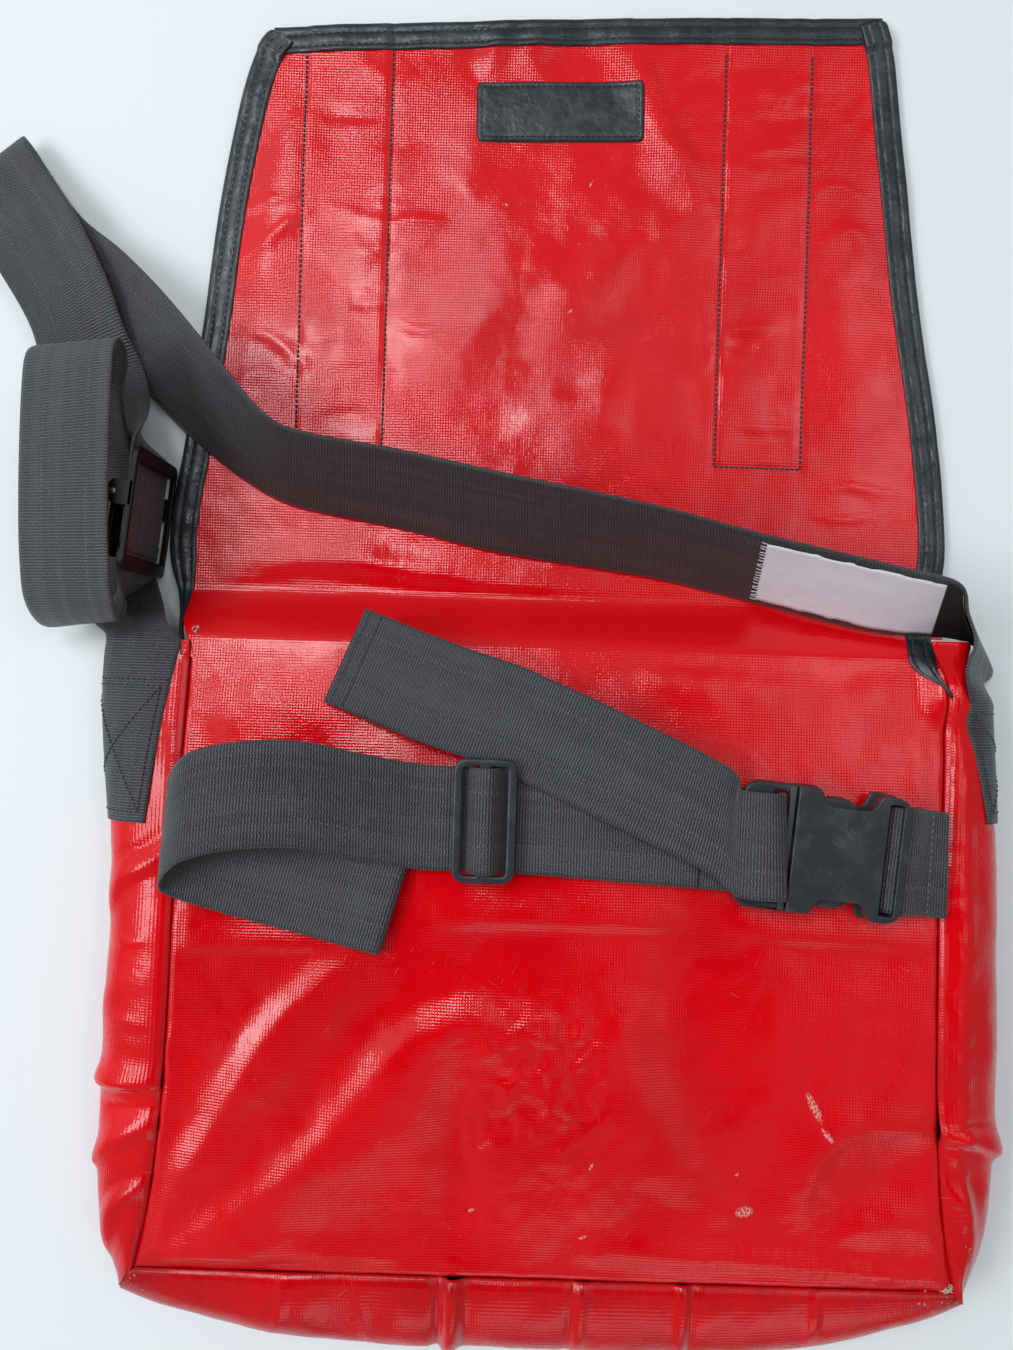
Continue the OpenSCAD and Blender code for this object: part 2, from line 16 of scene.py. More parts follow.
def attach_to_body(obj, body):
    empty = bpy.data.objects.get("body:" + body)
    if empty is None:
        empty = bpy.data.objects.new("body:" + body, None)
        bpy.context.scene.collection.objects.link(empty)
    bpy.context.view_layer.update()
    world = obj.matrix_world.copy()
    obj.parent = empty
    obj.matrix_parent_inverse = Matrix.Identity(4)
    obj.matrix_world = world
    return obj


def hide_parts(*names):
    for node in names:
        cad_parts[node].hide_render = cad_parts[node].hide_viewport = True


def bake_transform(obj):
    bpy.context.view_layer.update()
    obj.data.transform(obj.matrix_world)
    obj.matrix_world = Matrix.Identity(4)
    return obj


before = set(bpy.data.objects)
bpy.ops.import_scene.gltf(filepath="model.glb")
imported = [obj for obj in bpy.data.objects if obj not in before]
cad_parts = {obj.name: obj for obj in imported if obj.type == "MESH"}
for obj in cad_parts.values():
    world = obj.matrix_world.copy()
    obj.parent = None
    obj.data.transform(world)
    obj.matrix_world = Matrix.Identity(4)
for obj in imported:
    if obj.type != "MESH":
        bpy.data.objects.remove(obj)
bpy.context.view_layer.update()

# ---- camera ----

FRAME_W, FRAME_H = 1013, 1350
FOCAL_PX = 1015.0
CAMERA_MM = (-26.0, -9.0, 507.5)
CAMERA_TURN = math.radians(1.8)
MOUTH_Y = 146.0
MM = 0.001


def in_frame(points):
    """Places in millimetres from the middle of the mouth, as metres in the frame."""
    return (np.asarray(points, float) + (0.0, MOUTH_Y, 0.0)) * MM


def seen(px, py, z):
    """The place (x, y) at height z that the camera sees at a pixel."""
    scale = (CAMERA_MM[2] - z) / FOCAL_PX
    x, y = (px - FRAME_W / 2) * scale, (FRAME_H / 2 - py) * scale
    c, s = math.cos(CAMERA_TURN), math.sin(CAMERA_TURN)
    return CAMERA_MM[0] + x * c - y * s, CAMERA_MM[1] + x * s + y * c


def make_camera():
    data = bpy.data.cameras.new("camera")
    data.sensor_fit = "AUTO"
    data.sensor_width = 24.0
    data.lens = data.sensor_width * FOCAL_PX / FRAME_H
    camera = bpy.data.objects.new("camera", data)
    camera.location = in_frame([CAMERA_MM])[0]
    camera.rotation_euler = (0.0, 0.0, CAMERA_TURN)
    bpy.context.scene.collection.objects.link(camera)
    bpy.context.scene.camera = camera


make_camera()

# ---- numbers, curves and noise ----


def ease(t):
    t = np.clip(t, 0.0, 1.0)
    return t * t * (3 - 2 * t)


def mix(a, b, t):
    return a + (b - a) * t


def hermite(t, knots, values):
    """A smooth curve through values at increasing knots, for any number of columns."""
    knots, values = np.asarray(knots, float), np.asarray(values, float)
    slopes = np.gradient(values, knots, axis=0)
    k = np.clip(np.searchsorted(knots, t, side="right") - 1, 0, len(knots) - 2)
    step = knots[k + 1] - knots[k]
    f = np.clip((t - knots[k]) / step, 0.0, 1.0)
    if values.ndim > 1:
        f, step = f[..., None], step[..., None]
    f2, f3 = f * f, f * f * f
    return (
        (2 * f3 - 3 * f2 + 1) * values[k]
        + (f3 - 2 * f2 + f) * step * slopes[k]
        + (3 * f2 - 2 * f3) * values[k + 1]
        + (f3 - f2) * step * slopes[k + 1]
    )


def through(points, count):
    """count places along a smooth curve through points, evenly spread over its segments."""
    return hermite(np.linspace(0, len(points) - 1, count), range(len(points)), points)


def run_along(line):
    """The length of a line of places from its start to each of them."""
    return np.r_[0, np.cumsum(np.linalg.norm(np.diff(line, axis=0), axis=1))]


def at_lengths(wanted, run, line):
    """The places at the wanted lengths of a line with any number of columns."""
    return np.column_stack([np.interp(wanted, run, line[:, k]) for k in range(line.shape[1])])


def unit(vectors):
    """The vectors made one long."""
    return vectors / np.maximum(np.linalg.norm(vectors, axis=-1, keepdims=True), 1e-9)


def value_noise(x, y, cell, seed):
    """Smooth noise from -1 to 1 with bumps about one cell across."""
    rng = np.random.default_rng(seed)
    table = rng.uniform(-1, 1, (64, 64))
    gx, gy = np.asarray(x) / cell, np.asarray(y) / cell
    ix, iy = np.floor(gx).astype(int), np.floor(gy).astype(int)
    fx, fy = ease(gx - ix), ease(gy - iy)
    corner = lambda dx, dy: table[(ix + dx) % 64, (iy + dy) % 64]
    return mix(mix(corner(0, 0), corner(1, 0), fx), mix(corner(0, 1), corner(1, 1), fx), fy)


def crumple(x, y, cell, seed, octaves=3):
    """Several sizes of noise laid over one another."""
    return sum(value_noise(x, y, cell / 2**k, seed + k) / 2**k for k in range(octaves))


# ---- meshes ----


def ring_faces(rows, around, start=0):
    """Quads between rows of closed rings."""
    i, j = np.meshgrid(np.arange(rows - 1), np.arange(around), indexing="ij")
    a, b = start + i * around + j, start + i * around + (j + 1) % around
    return np.stack([a, b, b + around, a + around], axis=-1).reshape(-1, 4)


def grid_faces(rows, cols, flip=False):
    """Quads between the rows and columns of a grid."""
    i, j = np.meshgrid(np.arange(rows - 1), np.arange(cols - 1), indexing="ij")
    a = (i * cols + j).ravel()
    quads = np.stack([a, a + 1, a + cols + 1, a + cols], axis=1)
    return quads[:, ::-1] if flip else quads


def normals_of(grid):
    """The unit normal at each point of a grid of places."""
    return unit(np.cross(np.gradient(grid, axis=1), np.gradient(grid, axis=0)))


def make_mesh(name, points, faces, uvs=None, material=None):
    """A smooth object from places in millimetres, with one UV pair for each point."""
    mesh = bpy.data.meshes.new(name)
    mesh.from_pydata(in_frame(points).tolist(), [], [list(map(int, f)) for f in faces])
    mesh.polygons.foreach_set("use_smooth", [True] * len(mesh.polygons))
    if uvs is not None:
        corner = np.zeros(len(mesh.loops), dtype=np.int32)
        mesh.loops.foreach_get("vertex_index", corner)
        layer = mesh.uv_layers.new(name="UVMap")
        layer.data.foreach_set("uv", np.asarray(uvs, float)[corner].ravel())
    mesh.update()
    obj = bpy.data.objects.new(name, mesh)
    bpy.context.scene.collection.objects.link(obj)
    if material:
        mesh.materials.append(material)
    return obj


# where cloth bends from one body to the next
BENDS = {
    "fold": ("bag", "flap", [0, 1, 0], [0, 30, 0]),
    "waist": ("bag", "plug", [-172, -87, 0], [-46, -87, 0]),
}


def attach(obj, slot, body, *nodes):
    """obj stands for nodes of the frame, and rides on a body; for one of the bends its transform is only
    baked into its mesh.
    """
    if nodes:
        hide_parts(*nodes)
    if body in BENDS:
        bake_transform(obj)
    else:
        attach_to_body(obj, body)


UV_MM = 0.01  # one UV unit is 100 mm of cloth


def make_sheet(name, grid, uvs, material, thick, flip=False, darkening=None):
    """A sheet from a grid of places on its outer face, made thick on its inner side."""
    rows, cols = grid.shape[:2]
    uvs = np.asarray(uvs).reshape(-1, 2) * UV_MM
    obj = make_mesh(name, grid.reshape(-1, 3), grid_faces(rows, cols, flip), uvs, material)
    if darkening is not None:
        darkening_layer = obj.data.attributes.new("darkening", "FLOAT", "POINT")
        darkening_layer.data.foreach_set("value", np.ascontiguousarray(darkening, dtype=np.float32).ravel())
    solidify = obj.modifiers.new("thickness", "SOLIDIFY")
    solidify.thickness = thick * MM
    solidify.offset = -1.0
    solidify.use_quality_normals = True
    return obj


# ---- materials ----


class Nodes:
    """Short ways to add nodes to a tree."""

    def __init__(self, tree):
        self.tree = tree

    def feed(self, socket, value):
        if isinstance(value, bpy.types.NodeSocket):
            self.tree.links.new(value, socket)
        else:
            socket.default_value = value

    def add(self, kind, **inputs):
        node = self.tree.nodes.new("ShaderNode" + kind)
        for key, value in inputs.items():
            self.feed(node.inputs[key], value)
        return node.outputs

    def made(self, kind, values, **settings):
        """A node with settings and with values for its first inputs."""
        node = self.tree.nodes.new("ShaderNode" + kind)
        for key, setting in settings.items():
            setattr(node, key, setting)
        for socket, value in zip(node.inputs, values):
            self.feed(socket, value)
        return node.outputs

    def math(self, operation, *values):
        return self.made("Math", values, operation=operation)[0]

    def vector(self, operation, *values):
        return self.made("VectorMath", values, operation=operation)[0]

    def between(self, value, low, high, start=0.0, end=1.0):
        """value from low to high, as start to end, held at the ends."""
        return self.made("MapRange", (value, low, high, start, end), interpolation_type="SMOOTHSTEP")[0]

    def times(self, a, b):
        return self.math("MULTIPLY", a, b)

    def total(self, *values):
        out = values[0]
        for value in values[1:]:
            out = self.math("ADD", out, value)
        return out


class Shader(Nodes):
    """A Principled material whose places are in millimetres."""

    def __init__(self, name, source, **sockets):
        self.material = bpy.data.materials.new(name)
        self.material.use_nodes = True
        super().__init__(self.material.node_tree)
        self.surface = self.tree.nodes["Principled BSDF"]
        for key, value in sockets.items():
            self.feed(self.surface.inputs[key.replace("_", " ")], value)
        size = 100.0 if source == "UV" else 1000.0
        self.place = self.vector("MULTIPLY", self.add("TexCoord")[source], (size, size, size))
        self.axes = self.add("SeparateXYZ", Vector=self.place)

    def noise(self, cell, detail=2.0, stretch=(1, 1, 1), shift=0.0, rough=0.5, turn=0.0):
        """Noise from 0 to 1 with features about one cell across, turned by an angle in degrees."""
        place = self.place
        if turn:
            place = self.add("VectorRotate", Vector=place, Angle=math.radians(turn))[0]
        place = self.vector("MULTIPLY", place, tuple(k / cell for k in stretch))
        place = self.vector("ADD", place, (shift, shift * 1.7, shift * 0.3))
        return self.add("TexNoise", Vector=place, Scale=1.0, Detail=detail, Roughness=rough)[0]

    def wave(self, value, pitch, shift=0.0):
        """A sine from 0 to 1 with one period per pitch."""
        angle = self.math("MULTIPLY_ADD", value, 2 * math.pi / pitch, shift)
        return self.math("MULTIPLY_ADD", self.math("SINE", angle), 0.5, 0.5)

    def blend(self, share, a, b):
        node = self.tree.nodes.new("ShaderNodeMix")
        node.data_type = "RGBA"
        node.clamp_factor = True
        for socket, value in ((node.inputs[0], share), (node.inputs[6], a), (node.inputs[7], b)):
            self.feed(socket, value)
        return node.outputs[2]

    def spot(self, x, y, length, width, angle):
        """A soft ellipse, 1 in its middle and 0 outside."""
        c, s = math.cos(angle), math.sin(angle)
        dx, dy = self.math("SUBTRACT", self.axes[0], x), self.math("SUBTRACT", self.axes[1], y)
        along = self.total(self.times(dx, c / length), self.times(dy, s / length))
        across = self.total(self.times(dx, -s / width), self.times(dy, c / width))
        size = self.total(self.math("POWER", along, 2.0), self.math("POWER", across, 2.0))
        return self.between(size, 1.0, 0.2)

    def finish(self, color, rough, height):
        """Sets the colour, the roughness and the height in millimetres."""
        self.feed(self.surface.inputs["Base Color"], color)
        self.feed(self.surface.inputs["Roughness"], rough)
        bump = self.add("Bump", Strength=1.0, Distance=MM, Height=height)
        self.feed(self.surface.inputs["Normal"], bump[0])
        return self.material


TARP_RED = (0.72, 0.0018, 0.0065, 1)
TARP_DEEP = (0.52, 0.0012, 0.0040, 1)
SCUFF_PALE = (0.72, 0.42, 0.36, 1)
WEAVE_PITCH = 1.32
# where the camera sees the mouth, and the heights that the scuffs' pixels are read at
MOUTH_ROW, BACK_SCUFF_Z, FLAP_SCUFF_Z = 640, 20.0, 3.0
# scuffs on the sheet: pixel, half length, half width in millimetres, angle in degrees
SCUFFS = [
    ((803, 1092), 9, 2.2, -62), ((815, 1118), 5, 1.6, -50), ((737, 1196), 5, 3.0, 10),
    ((588, 1148), 2.2, 0.8, 60), ((580, 1220), 2.6, 0.9, 20), ((570, 313), 2.0, 0.8, 40),
    ((505, 205), 1.8, 0.8, 0), ((591, 184), 2.2, 0.7, 70), ((472, 1196), 2.0, 0.9, 30),
    ((730, 1160), 1.6, 0.7, 50),
]


def tarp_material(name, scuffed):
    """Glossy coated tarpaulin: its woven scrim shows as dimples, and it is creased, scratched and grimy."""
    s = Shader(name, "UV", IOR=1.47, Specular_IOR_Level=0.5 if scuffed else 0.36)
    u, v = s.axes[0], s.axes[1]
    shown = s.between(s.noise(38, 3, shift=3.1), 0.30, 0.62, 0.35, 1.0)
    weave = s.total(s.times(s.wave(u, WEAVE_PITCH), 0.040), s.times(s.wave(v, WEAVE_PITCH), 0.062))
    weave = s.times(weave, shown)
    grain = s.times(s.noise(2.2, 2, shift=7.7), 0.05)
    dents = s.times(s.noise(9, 3, shift=1.3), 0.26)
    soft = s.times(s.noise(30, 1, shift=4.6), 0.8)
    scratch_a = s.between(s.noise(1.0, 1, stretch=(3.0, 0.09, 1), shift=2.0, turn=24), 0.72, 0.78)
    scratch_b = s.between(s.noise(1.0, 1, stretch=(3.0, 0.07, 1), shift=5.0, turn=-58), 0.73, 0.79)
    patchy = s.between(s.noise(34, 2, shift=8.2), 0.52, 0.72)
    scratches = s.times(s.math("MAXIMUM", scratch_a, scratch_b), patchy)
    darkening = s.times(s.between(s.noise(1.4, 3, shift=9.9), 0.60, 0.74),
                    s.between(s.noise(24, 2, shift=6.0), 0.5, 0.75))
    # the sheet's darkening attribute: darker along the seams, over the bottom panel, and at the bottom
    # corners where dirt gathers
    seam = s.add("Attribute")[2]
    seam.node.attribute_name = "darkening"
    tone = s.blend(s.between(s.noise(60, 3, shift=2.4), 0.3, 0.75, 0.0, 0.5), TARP_RED, TARP_DEEP)
    tone = s.blend(s.times(darkening, 0.5), tone, (0.13, 0.012, 0.014, 1))
    darker_share = s.times(seam, s.between(s.noise(3, 3, shift=1.0), 0.25, 0.7, 0.35, 0.9))
    tone = s.blend(darker_share, tone, (0.07, 0.006, 0.008, 1))
    tone = s.blend(s.times(scratches, 0.16), tone, SCUFF_PALE)
    rough = s.between(s.noise(16, 3, shift=5.5), 0.25, 0.8, 0.06, 0.14)
    rough = s.total(rough, s.times(scratches, 0.2), s.times(darkening, 0.2), s.times(seam, 0.15))
    if scuffed:
        mark = 0.0
        for pixel, length, width, turn in SCUFFS:
            place = seen(*pixel, BACK_SCUFF_Z if pixel[1] > MOUTH_ROW else FLAP_SCUFF_Z)
            mark = s.math("MAXIMUM", s.spot(*place, length, width, math.radians(turn)), mark)
        broken = s.between(s.noise(1.1, 3, stretch=(1.6, 0.7, 1), shift=3.3), 0.44, 0.56)
        mark = s.times(mark, broken)
        tone = s.blend(s.times(mark, 0.85), tone, SCUFF_PALE)
        rough = s.total(rough, s.times(mark, 0.35))
    return s.finish(tone, rough, s.total(weave, grain, dents, soft, s.times(scratches, -0.02)))


def rubber_material():
    """Matt tube rubber: fine grain, dusty patches and small nicks."""
    s = Shader("binding_rubber", "UV", IOR=1.5)
    dust = s.between(s.noise(14, 4, shift=2.0), 0.4, 0.75)
    nicks = s.between(s.noise(0.8, 2, shift=6.0), 0.68, 0.74)
    tone = s.blend(s.times(dust, 0.6), (0.013, 0.016, 0.020, 1), (0.048, 0.056, 0.066, 1))
    tone = s.blend(s.times(nicks, 0.35), tone, (0.16, 0.17, 0.19, 1))
    rough = s.between(s.noise(5, 3, shift=4.0), 0.3, 0.8, 0.27, 0.46)
    grain, dents = s.times(s.noise(0.5, 2), 0.030), s.times(s.noise(3.5, 2, shift=1.0), 0.30)
    return s.finish(tone, rough, s.total(grain, dents, s.times(nicks, -0.04)))


WEB_W, WEB_T = 48.0, 1.5
WEB_DOTS = (11.0, 35.0)


def webbing_material(name, worn=None):
    """Seat belt webbing: ribs across it, warp columns along it, and two lines of lighter dashes. It is
    darker between the two places along it that worn gives."""
    s = Shader(name, "UV", IOR=1.5, Sheen_Weight=0.15, Sheen_Roughness=0.4)
    u, v = s.axes[0], s.axes[1]
    wander = s.times(s.noise(7, 2), 0.5)
    column = s.math("FLOOR", s.times(u, 1 / 1.6))
    stagger = s.times(s.math("MODULO", column, 2.0), 0.3 * math.pi)
    angle = s.math("MULTIPLY_ADD", s.total(v, wander), 2 * math.pi / 1.35, stagger)
    rib = s.math("MULTIPLY_ADD", s.math("SINE", angle), 0.5, 0.5)
    threads = s.wave(u, 0.8)
    long_band = s.between(s.noise(5.0, 2, stretch=(1, 0.02, 1), shift=1.0), 0.35, 0.7)
    fuzz = s.noise(0.45, 2, stretch=(1, 0.6, 1))
    dots = 0.0
    for x in WEB_DOTS:
        near = s.between(s.math("ABSOLUTE", s.math("SUBTRACT", u, x)), 0.55, 0.30)
        dots = s.total(near, dots)
    dots = s.times(dots, s.between(s.wave(v, 2.4), 0.50, 0.75))
    dots = s.times(dots, s.between(s.noise(9, 2, shift=5.0), 0.3, 0.6, 0.15, 1.0))
    dusty = s.between(s.noise(12, 4, shift=3.0), 0.42, 0.8)
    selvedge = s.between(s.math("MINIMUM", u, s.math("SUBTRACT", WEB_W, u)), 0.9, 0.2)
    lit = s.math("POWER", s.times(rib, s.between(fuzz, 0.2, 0.8, 0.2, 1.0)), 1.6)
    tone = s.blend(lit, (0.005, 0.0053, 0.0066, 1), (0.175, 0.180, 0.196, 1))
    tone = s.blend(s.times(long_band, 0.16), tone, (0.080, 0.081, 0.089, 1))
    tone = s.blend(s.times(dusty, 0.14), tone, (0.10, 0.10, 0.107, 1))
    tone = s.blend(s.times(dots, 0.4), tone, (0.16, 0.16, 0.167, 1))
    tone = s.blend(s.times(selvedge, 0.4), tone, (0.07, 0.07, 0.075, 1))
    if worn:
        start, end = worn
        used = s.times(s.between(v, start - 25, start + 25), s.between(v, end + 25, end - 25))
        streak = s.between(s.noise(3.0, 2, stretch=(1, 0.03, 1), shift=8.0), 0.30, 0.75, 0.75, 0.20)
        tone = s.blend(s.times(used, streak), tone, (0.0165, 0.0185, 0.0200, 1))
    rough = s.between(long_band, 0.0, 1.0, 0.50, 0.38)
    height = s.total(s.times(rib, 0.24), s.times(threads, 0.10), s.times(fuzz, 0.10), s.times(dots, 0.10))
    return s.finish(tone, rough, height)


def tape_material(name, hooks, pale=0.045, sheen=0.3):
    """Hook tape has rows of stiff hooks, and loop tape a felted pile."""
    s = Shader(name, "UV", IOR=1.45, Sheen_Weight=sheen)
    u, v = s.axes[0], s.axes[1]
    if hooks:
        pile = s.times(s.wave(u, 1.3), s.wave(v, 1.7))
    else:
        pile = s.noise(0.5, 4, rough=0.7)
    tone = s.blend(pile, (pale / 8, pale / 8, pale / 7, 1), (pale, pale, pale * 1.06, 1))
    rough = s.between(pile, 0.0, 1.0, 0.9, 0.65)
    return s.finish(tone, rough, s.total(s.times(pile, 0.5), s.times(s.noise(5, 2), 0.3)))


def plastic_material(name, dark, pale, shine=0.5):
    """Moulded acetal: a fine spark texture, rubbed glossier and paler in places, with scratches, and paler
    along sharp edges, partly from wear and partly as a painted highlight.
    """
    s = Shader(name, "Object", IOR=1.48, Specular_IOR_Level=shine)
    spark = s.noise(0.35, 2)
    rubbed = s.between(s.noise(9, 3, shift=2.0), 0.42, 0.72)
    lines = s.between(s.noise(1.0, 1, stretch=(0.10, 3.0, 1), shift=4.0, turn=35), 0.66, 0.74)
    more = s.between(s.noise(1.0, 1, stretch=(2.6, 0.12, 1), shift=7.0, turn=-15), 0.68, 0.76)
    scratches = s.times(s.math("MAXIMUM", lines, more), rubbed)
    # paler along sharp edges: partly edge wear, partly a painted highlight on the rims
    edge = s.between(s.add("NewGeometry")[7], 0.52, 0.62)
    tone = s.blend(rubbed, dark, pale)
    bright = (*(3.6 * k for k in pale[:3]), 1)
    tone = s.blend(s.times(scratches, 0.6), tone, bright)
    tone = s.blend(s.times(edge, 0.25), tone, bright)
    rough = s.total(s.between(rubbed, 0.0, 1.0, 0.40, 0.28), s.times(scratches, 0.15))
    return s.finish(tone, rough, s.total(s.times(spark, 0.02), s.times(scratches, -0.03)))


def steel_material():
    """Drawn steel with fine lines along it."""
    s = Shader("pin_steel", "Object", Metallic=1.0)
    lines = s.noise(0.4, 2, stretch=(1.5, 1.5, 0.05))
    spots = s.between(s.noise(1.5, 3, shift=2.0), 0.6, 0.8)
    tone = s.blend(s.times(spots, 0.5), (0.42, 0.42, 0.43, 1), (0.20, 0.17, 0.14, 1))
    return s.finish(tone, s.between(lines, 0.2, 0.8, 0.24, 0.42), s.times(lines, 0.01))


def label_material():
    """Woven label, bare, with a fine cross weave."""
    s = Shader("label_cloth", "UV", Sheen_Weight=0.2)
    u, v = s.axes[0], s.axes[1]
    weft = s.wave(v, 0.55)
    warp = s.wave(u, 0.40)
    soil = s.between(s.noise(9, 4), 0.45, 0.8)
    tone = s.blend(s.times(weft, warp), (0.70, 0.70, 0.76, 1), (0.88, 0.88, 0.94, 1))
    tone = s.blend(s.times(soil, 0.2), tone, (0.50, 0.48, 0.50, 1))
    return s.finish(tone, s.between(warp, 0.0, 1.0, 0.85, 0.70), s.times(s.total(weft, warp), 0.05))


def thread_material(name, dark, light):
    """Twisted sewing thread."""
    s = Shader(name, "Object", Sheen_Weight=0.3)
    twist = s.wave(s.total(s.axes[0], s.axes[1], s.axes[2]), 0.35)
    tone = s.blend(s.times(twist, s.noise(0.8, 2)), dark, light)
    return s.finish(tone, s.between(twist, 0.0, 1.0, 0.8, 0.6), s.times(twist, 0.05))


def edge_material():
    """The cut edge of the tarpaulin, where its polyester core shows cream between the red coats."""
    s = Shader("raw_edge", "UV")
    fibre = s.noise(0.35, 3, stretch=(1, 0.3, 1))
    tone = s.blend(s.between(fibre, 0.3, 0.65), (0.62, 0.10, 0.09, 1), (0.74, 0.68, 0.60, 1))
    return s.finish(tone, s.between(fibre, 0.2, 0.8, 0.7, 0.9), s.times(fibre, 0.15))


def floor_material():
    s = Shader("floor", "Object")
    cloud = s.noise(300, 2)
    tone = s.blend(cloud, (0.80, 0.85, 0.865, 1), (0.83, 0.875, 0.885, 1))
    return s.finish(tone, s.between(cloud, 0.2, 0.8, 0.75, 0.85), s.times(cloud, 0.02))


# ---- the bag's surfaces, as in the CAD source ----

PANEL_W, PANEL_H, CORNER_FLARE = 354.0, 292.0, 16.0
MOUTH_RISE, BODY_RISE, FOOT_RISE, CROWN_SAG = 24.0, 41.0, 33.0, 4.0
SIDE_BULGE, FOOT_BULGE, CORNER_FROM = 34.0, 40.0, 0.85
LEFT_CORNER_BULGE, RIGHT_CORNER_BULGE, CORNER_TURN = 17.0, 11.0, 60.0
NECK_SHIFT, NECK_RISE = 5.0, 6.0
TARP_T = 1.0


def half_w(v):
    """Half the back panel's width at a share v of its length below the mouth."""
    return PANEL_W / 2 + CORNER_FLARE * np.maximum(v, 0.0) ** 5


def edge_z(v):
    """The height of the panel's edge there."""
    ends = np.where(np.asarray(v) < 0.5, MOUTH_RISE, FOOT_RISE)
    return BODY_RISE - (BODY_RISE - ends) * (1 - np.sin(np.pi * v))


def neck_at(v):
    """1 at the mouth, where the right gusset is drawn out and up beside its webbing, and 0 below."""
    return ease((0.11 - v) / 0.07)


def right_shift(x, v):
    """How far the right seam moves out near the mouth."""
    return NECK_SHIFT * ease((0.42 - v) / 0.35) * (x > 0)


def corner_bulge(side):
    """How far the cloth bulges at the left or right bottom corner."""
    return np.where(np.asarray(side) < 0, LEFT_CORNER_BULGE, RIGHT_CORNER_BULGE)


def seam_turn(k, full):
    """How far the bulge turns from straight out of a seam towards the corner, up to full degrees."""
    return np.radians(full) * ease((np.abs(k) - CORNER_FROM) / (1 - CORNER_FROM))


def side_swell(side, v):
    """How far a gusset bulges. The left one is flattened at the mouth under its sewn webbing."""
    spread_out = 13 * (1 - ease(v / 0.42)) if side < 0 else 0
    corner = corner_bulge(side)
    return corner + (SIDE_BULGE - corner) * (1 - v**8) - 4 * (1 - v) ** 4 + spread_out


def foot_swell(u):
    """How far the bottom panel bulges, at u from -1 to 1 across it."""
    corner = corner_bulge(u)
    return corner + (FOOT_BULGE - corner) * (1 - u**4)


def swell_grid(seam_x, seam_y, out_x, out_y, rise, swell, s, lift):
    """Points of the half ellipse between two seams, moved out by lift. All are grids alike."""
    nx, nz = rise / 2 * np.sin(np.pi * s), swell * np.cos(np.pi * s)
    size = np.hypot(nx, nz)
    off = swell * np.sin(np.pi * s) + nx / size * lift
    z = rise / 2 * (1 + np.cos(np.pi * s)) + nz / size * lift
    return np.stack([seam_x + out_x * off, seam_y + out_y * off, z], axis=-1)


def side_grid(side, v, s, lift):
    """Places on a gusset: v down its length and s from its upper seam round to its lower one."""
    turn = seam_turn(v, CORNER_TURN)
    out = side * np.cos(turn), -np.sin(turn)
    return swell_grid(side * half_w(v), -PANEL_H * v, *out, edge_z(v), side_swell(side, v), s, lift)


def foot_grid(u, s, lift):
    """Places on the bottom panel, likewise with u across it."""
    turn = seam_turn(u, 90 - CORNER_TURN)
    out = np.sign(u) * np.sin(turn), -np.cos(turn)
    return swell_grid(u * half_w(1.0), np.full_like(u, -PANEL_H), *out, edge_z(1.0), foot_swell(u), s, lift)


# ---- folds pressed into the tarpaulin ----


def fold_relief(x, y, folds):
    """Height of a set of folds. Each is (height, width left of its crest, width right of it,
    crest), with the crest as places (x, y, share of the height)."""
    total = np.zeros_like(x)
    for height, left, right, crest in folds:
        line = through(crest, 10 * len(crest))
        reach = 3 * max(left, right)
        low, high = line[:, :2].min(axis=0) - reach, line[:, :2].max(axis=0) + reach
        near = (x > low[0]) & (x < high[0]) & (y > low[1]) & (y < high[1])
        away = np.stack([x[near], y[near]], axis=-1)[:, None, :] - line[:, :2]
        nearest = (away**2).sum(-1).argmin(-1)
        away = away[np.arange(len(nearest)), nearest]
        along = np.gradient(line[:, :2], axis=0)[nearest]
        on_left = along[:, 0] * away[:, 1] - along[:, 1] * away[:, 0] > 0
        width = np.where(on_left, left, right)
        distance = np.hypot(away[:, 0], away[:, 1])
        total[near] += height * line[nearest, 2] * np.exp(-((distance / width) ** 2))
    return total


def picked(z, *folds):
    """Folds whose crests are given by pixels, on a surface at about height z."""
    return [(h, a, b, [(*seen(px, py, z), share) for px, py, share in crest]) for h, a, b, crest in folds]


# the heights that the folds' pixels are read at
BACK_FOLD_Z, FLAP_FOLD_Z = 39.0, 4.0

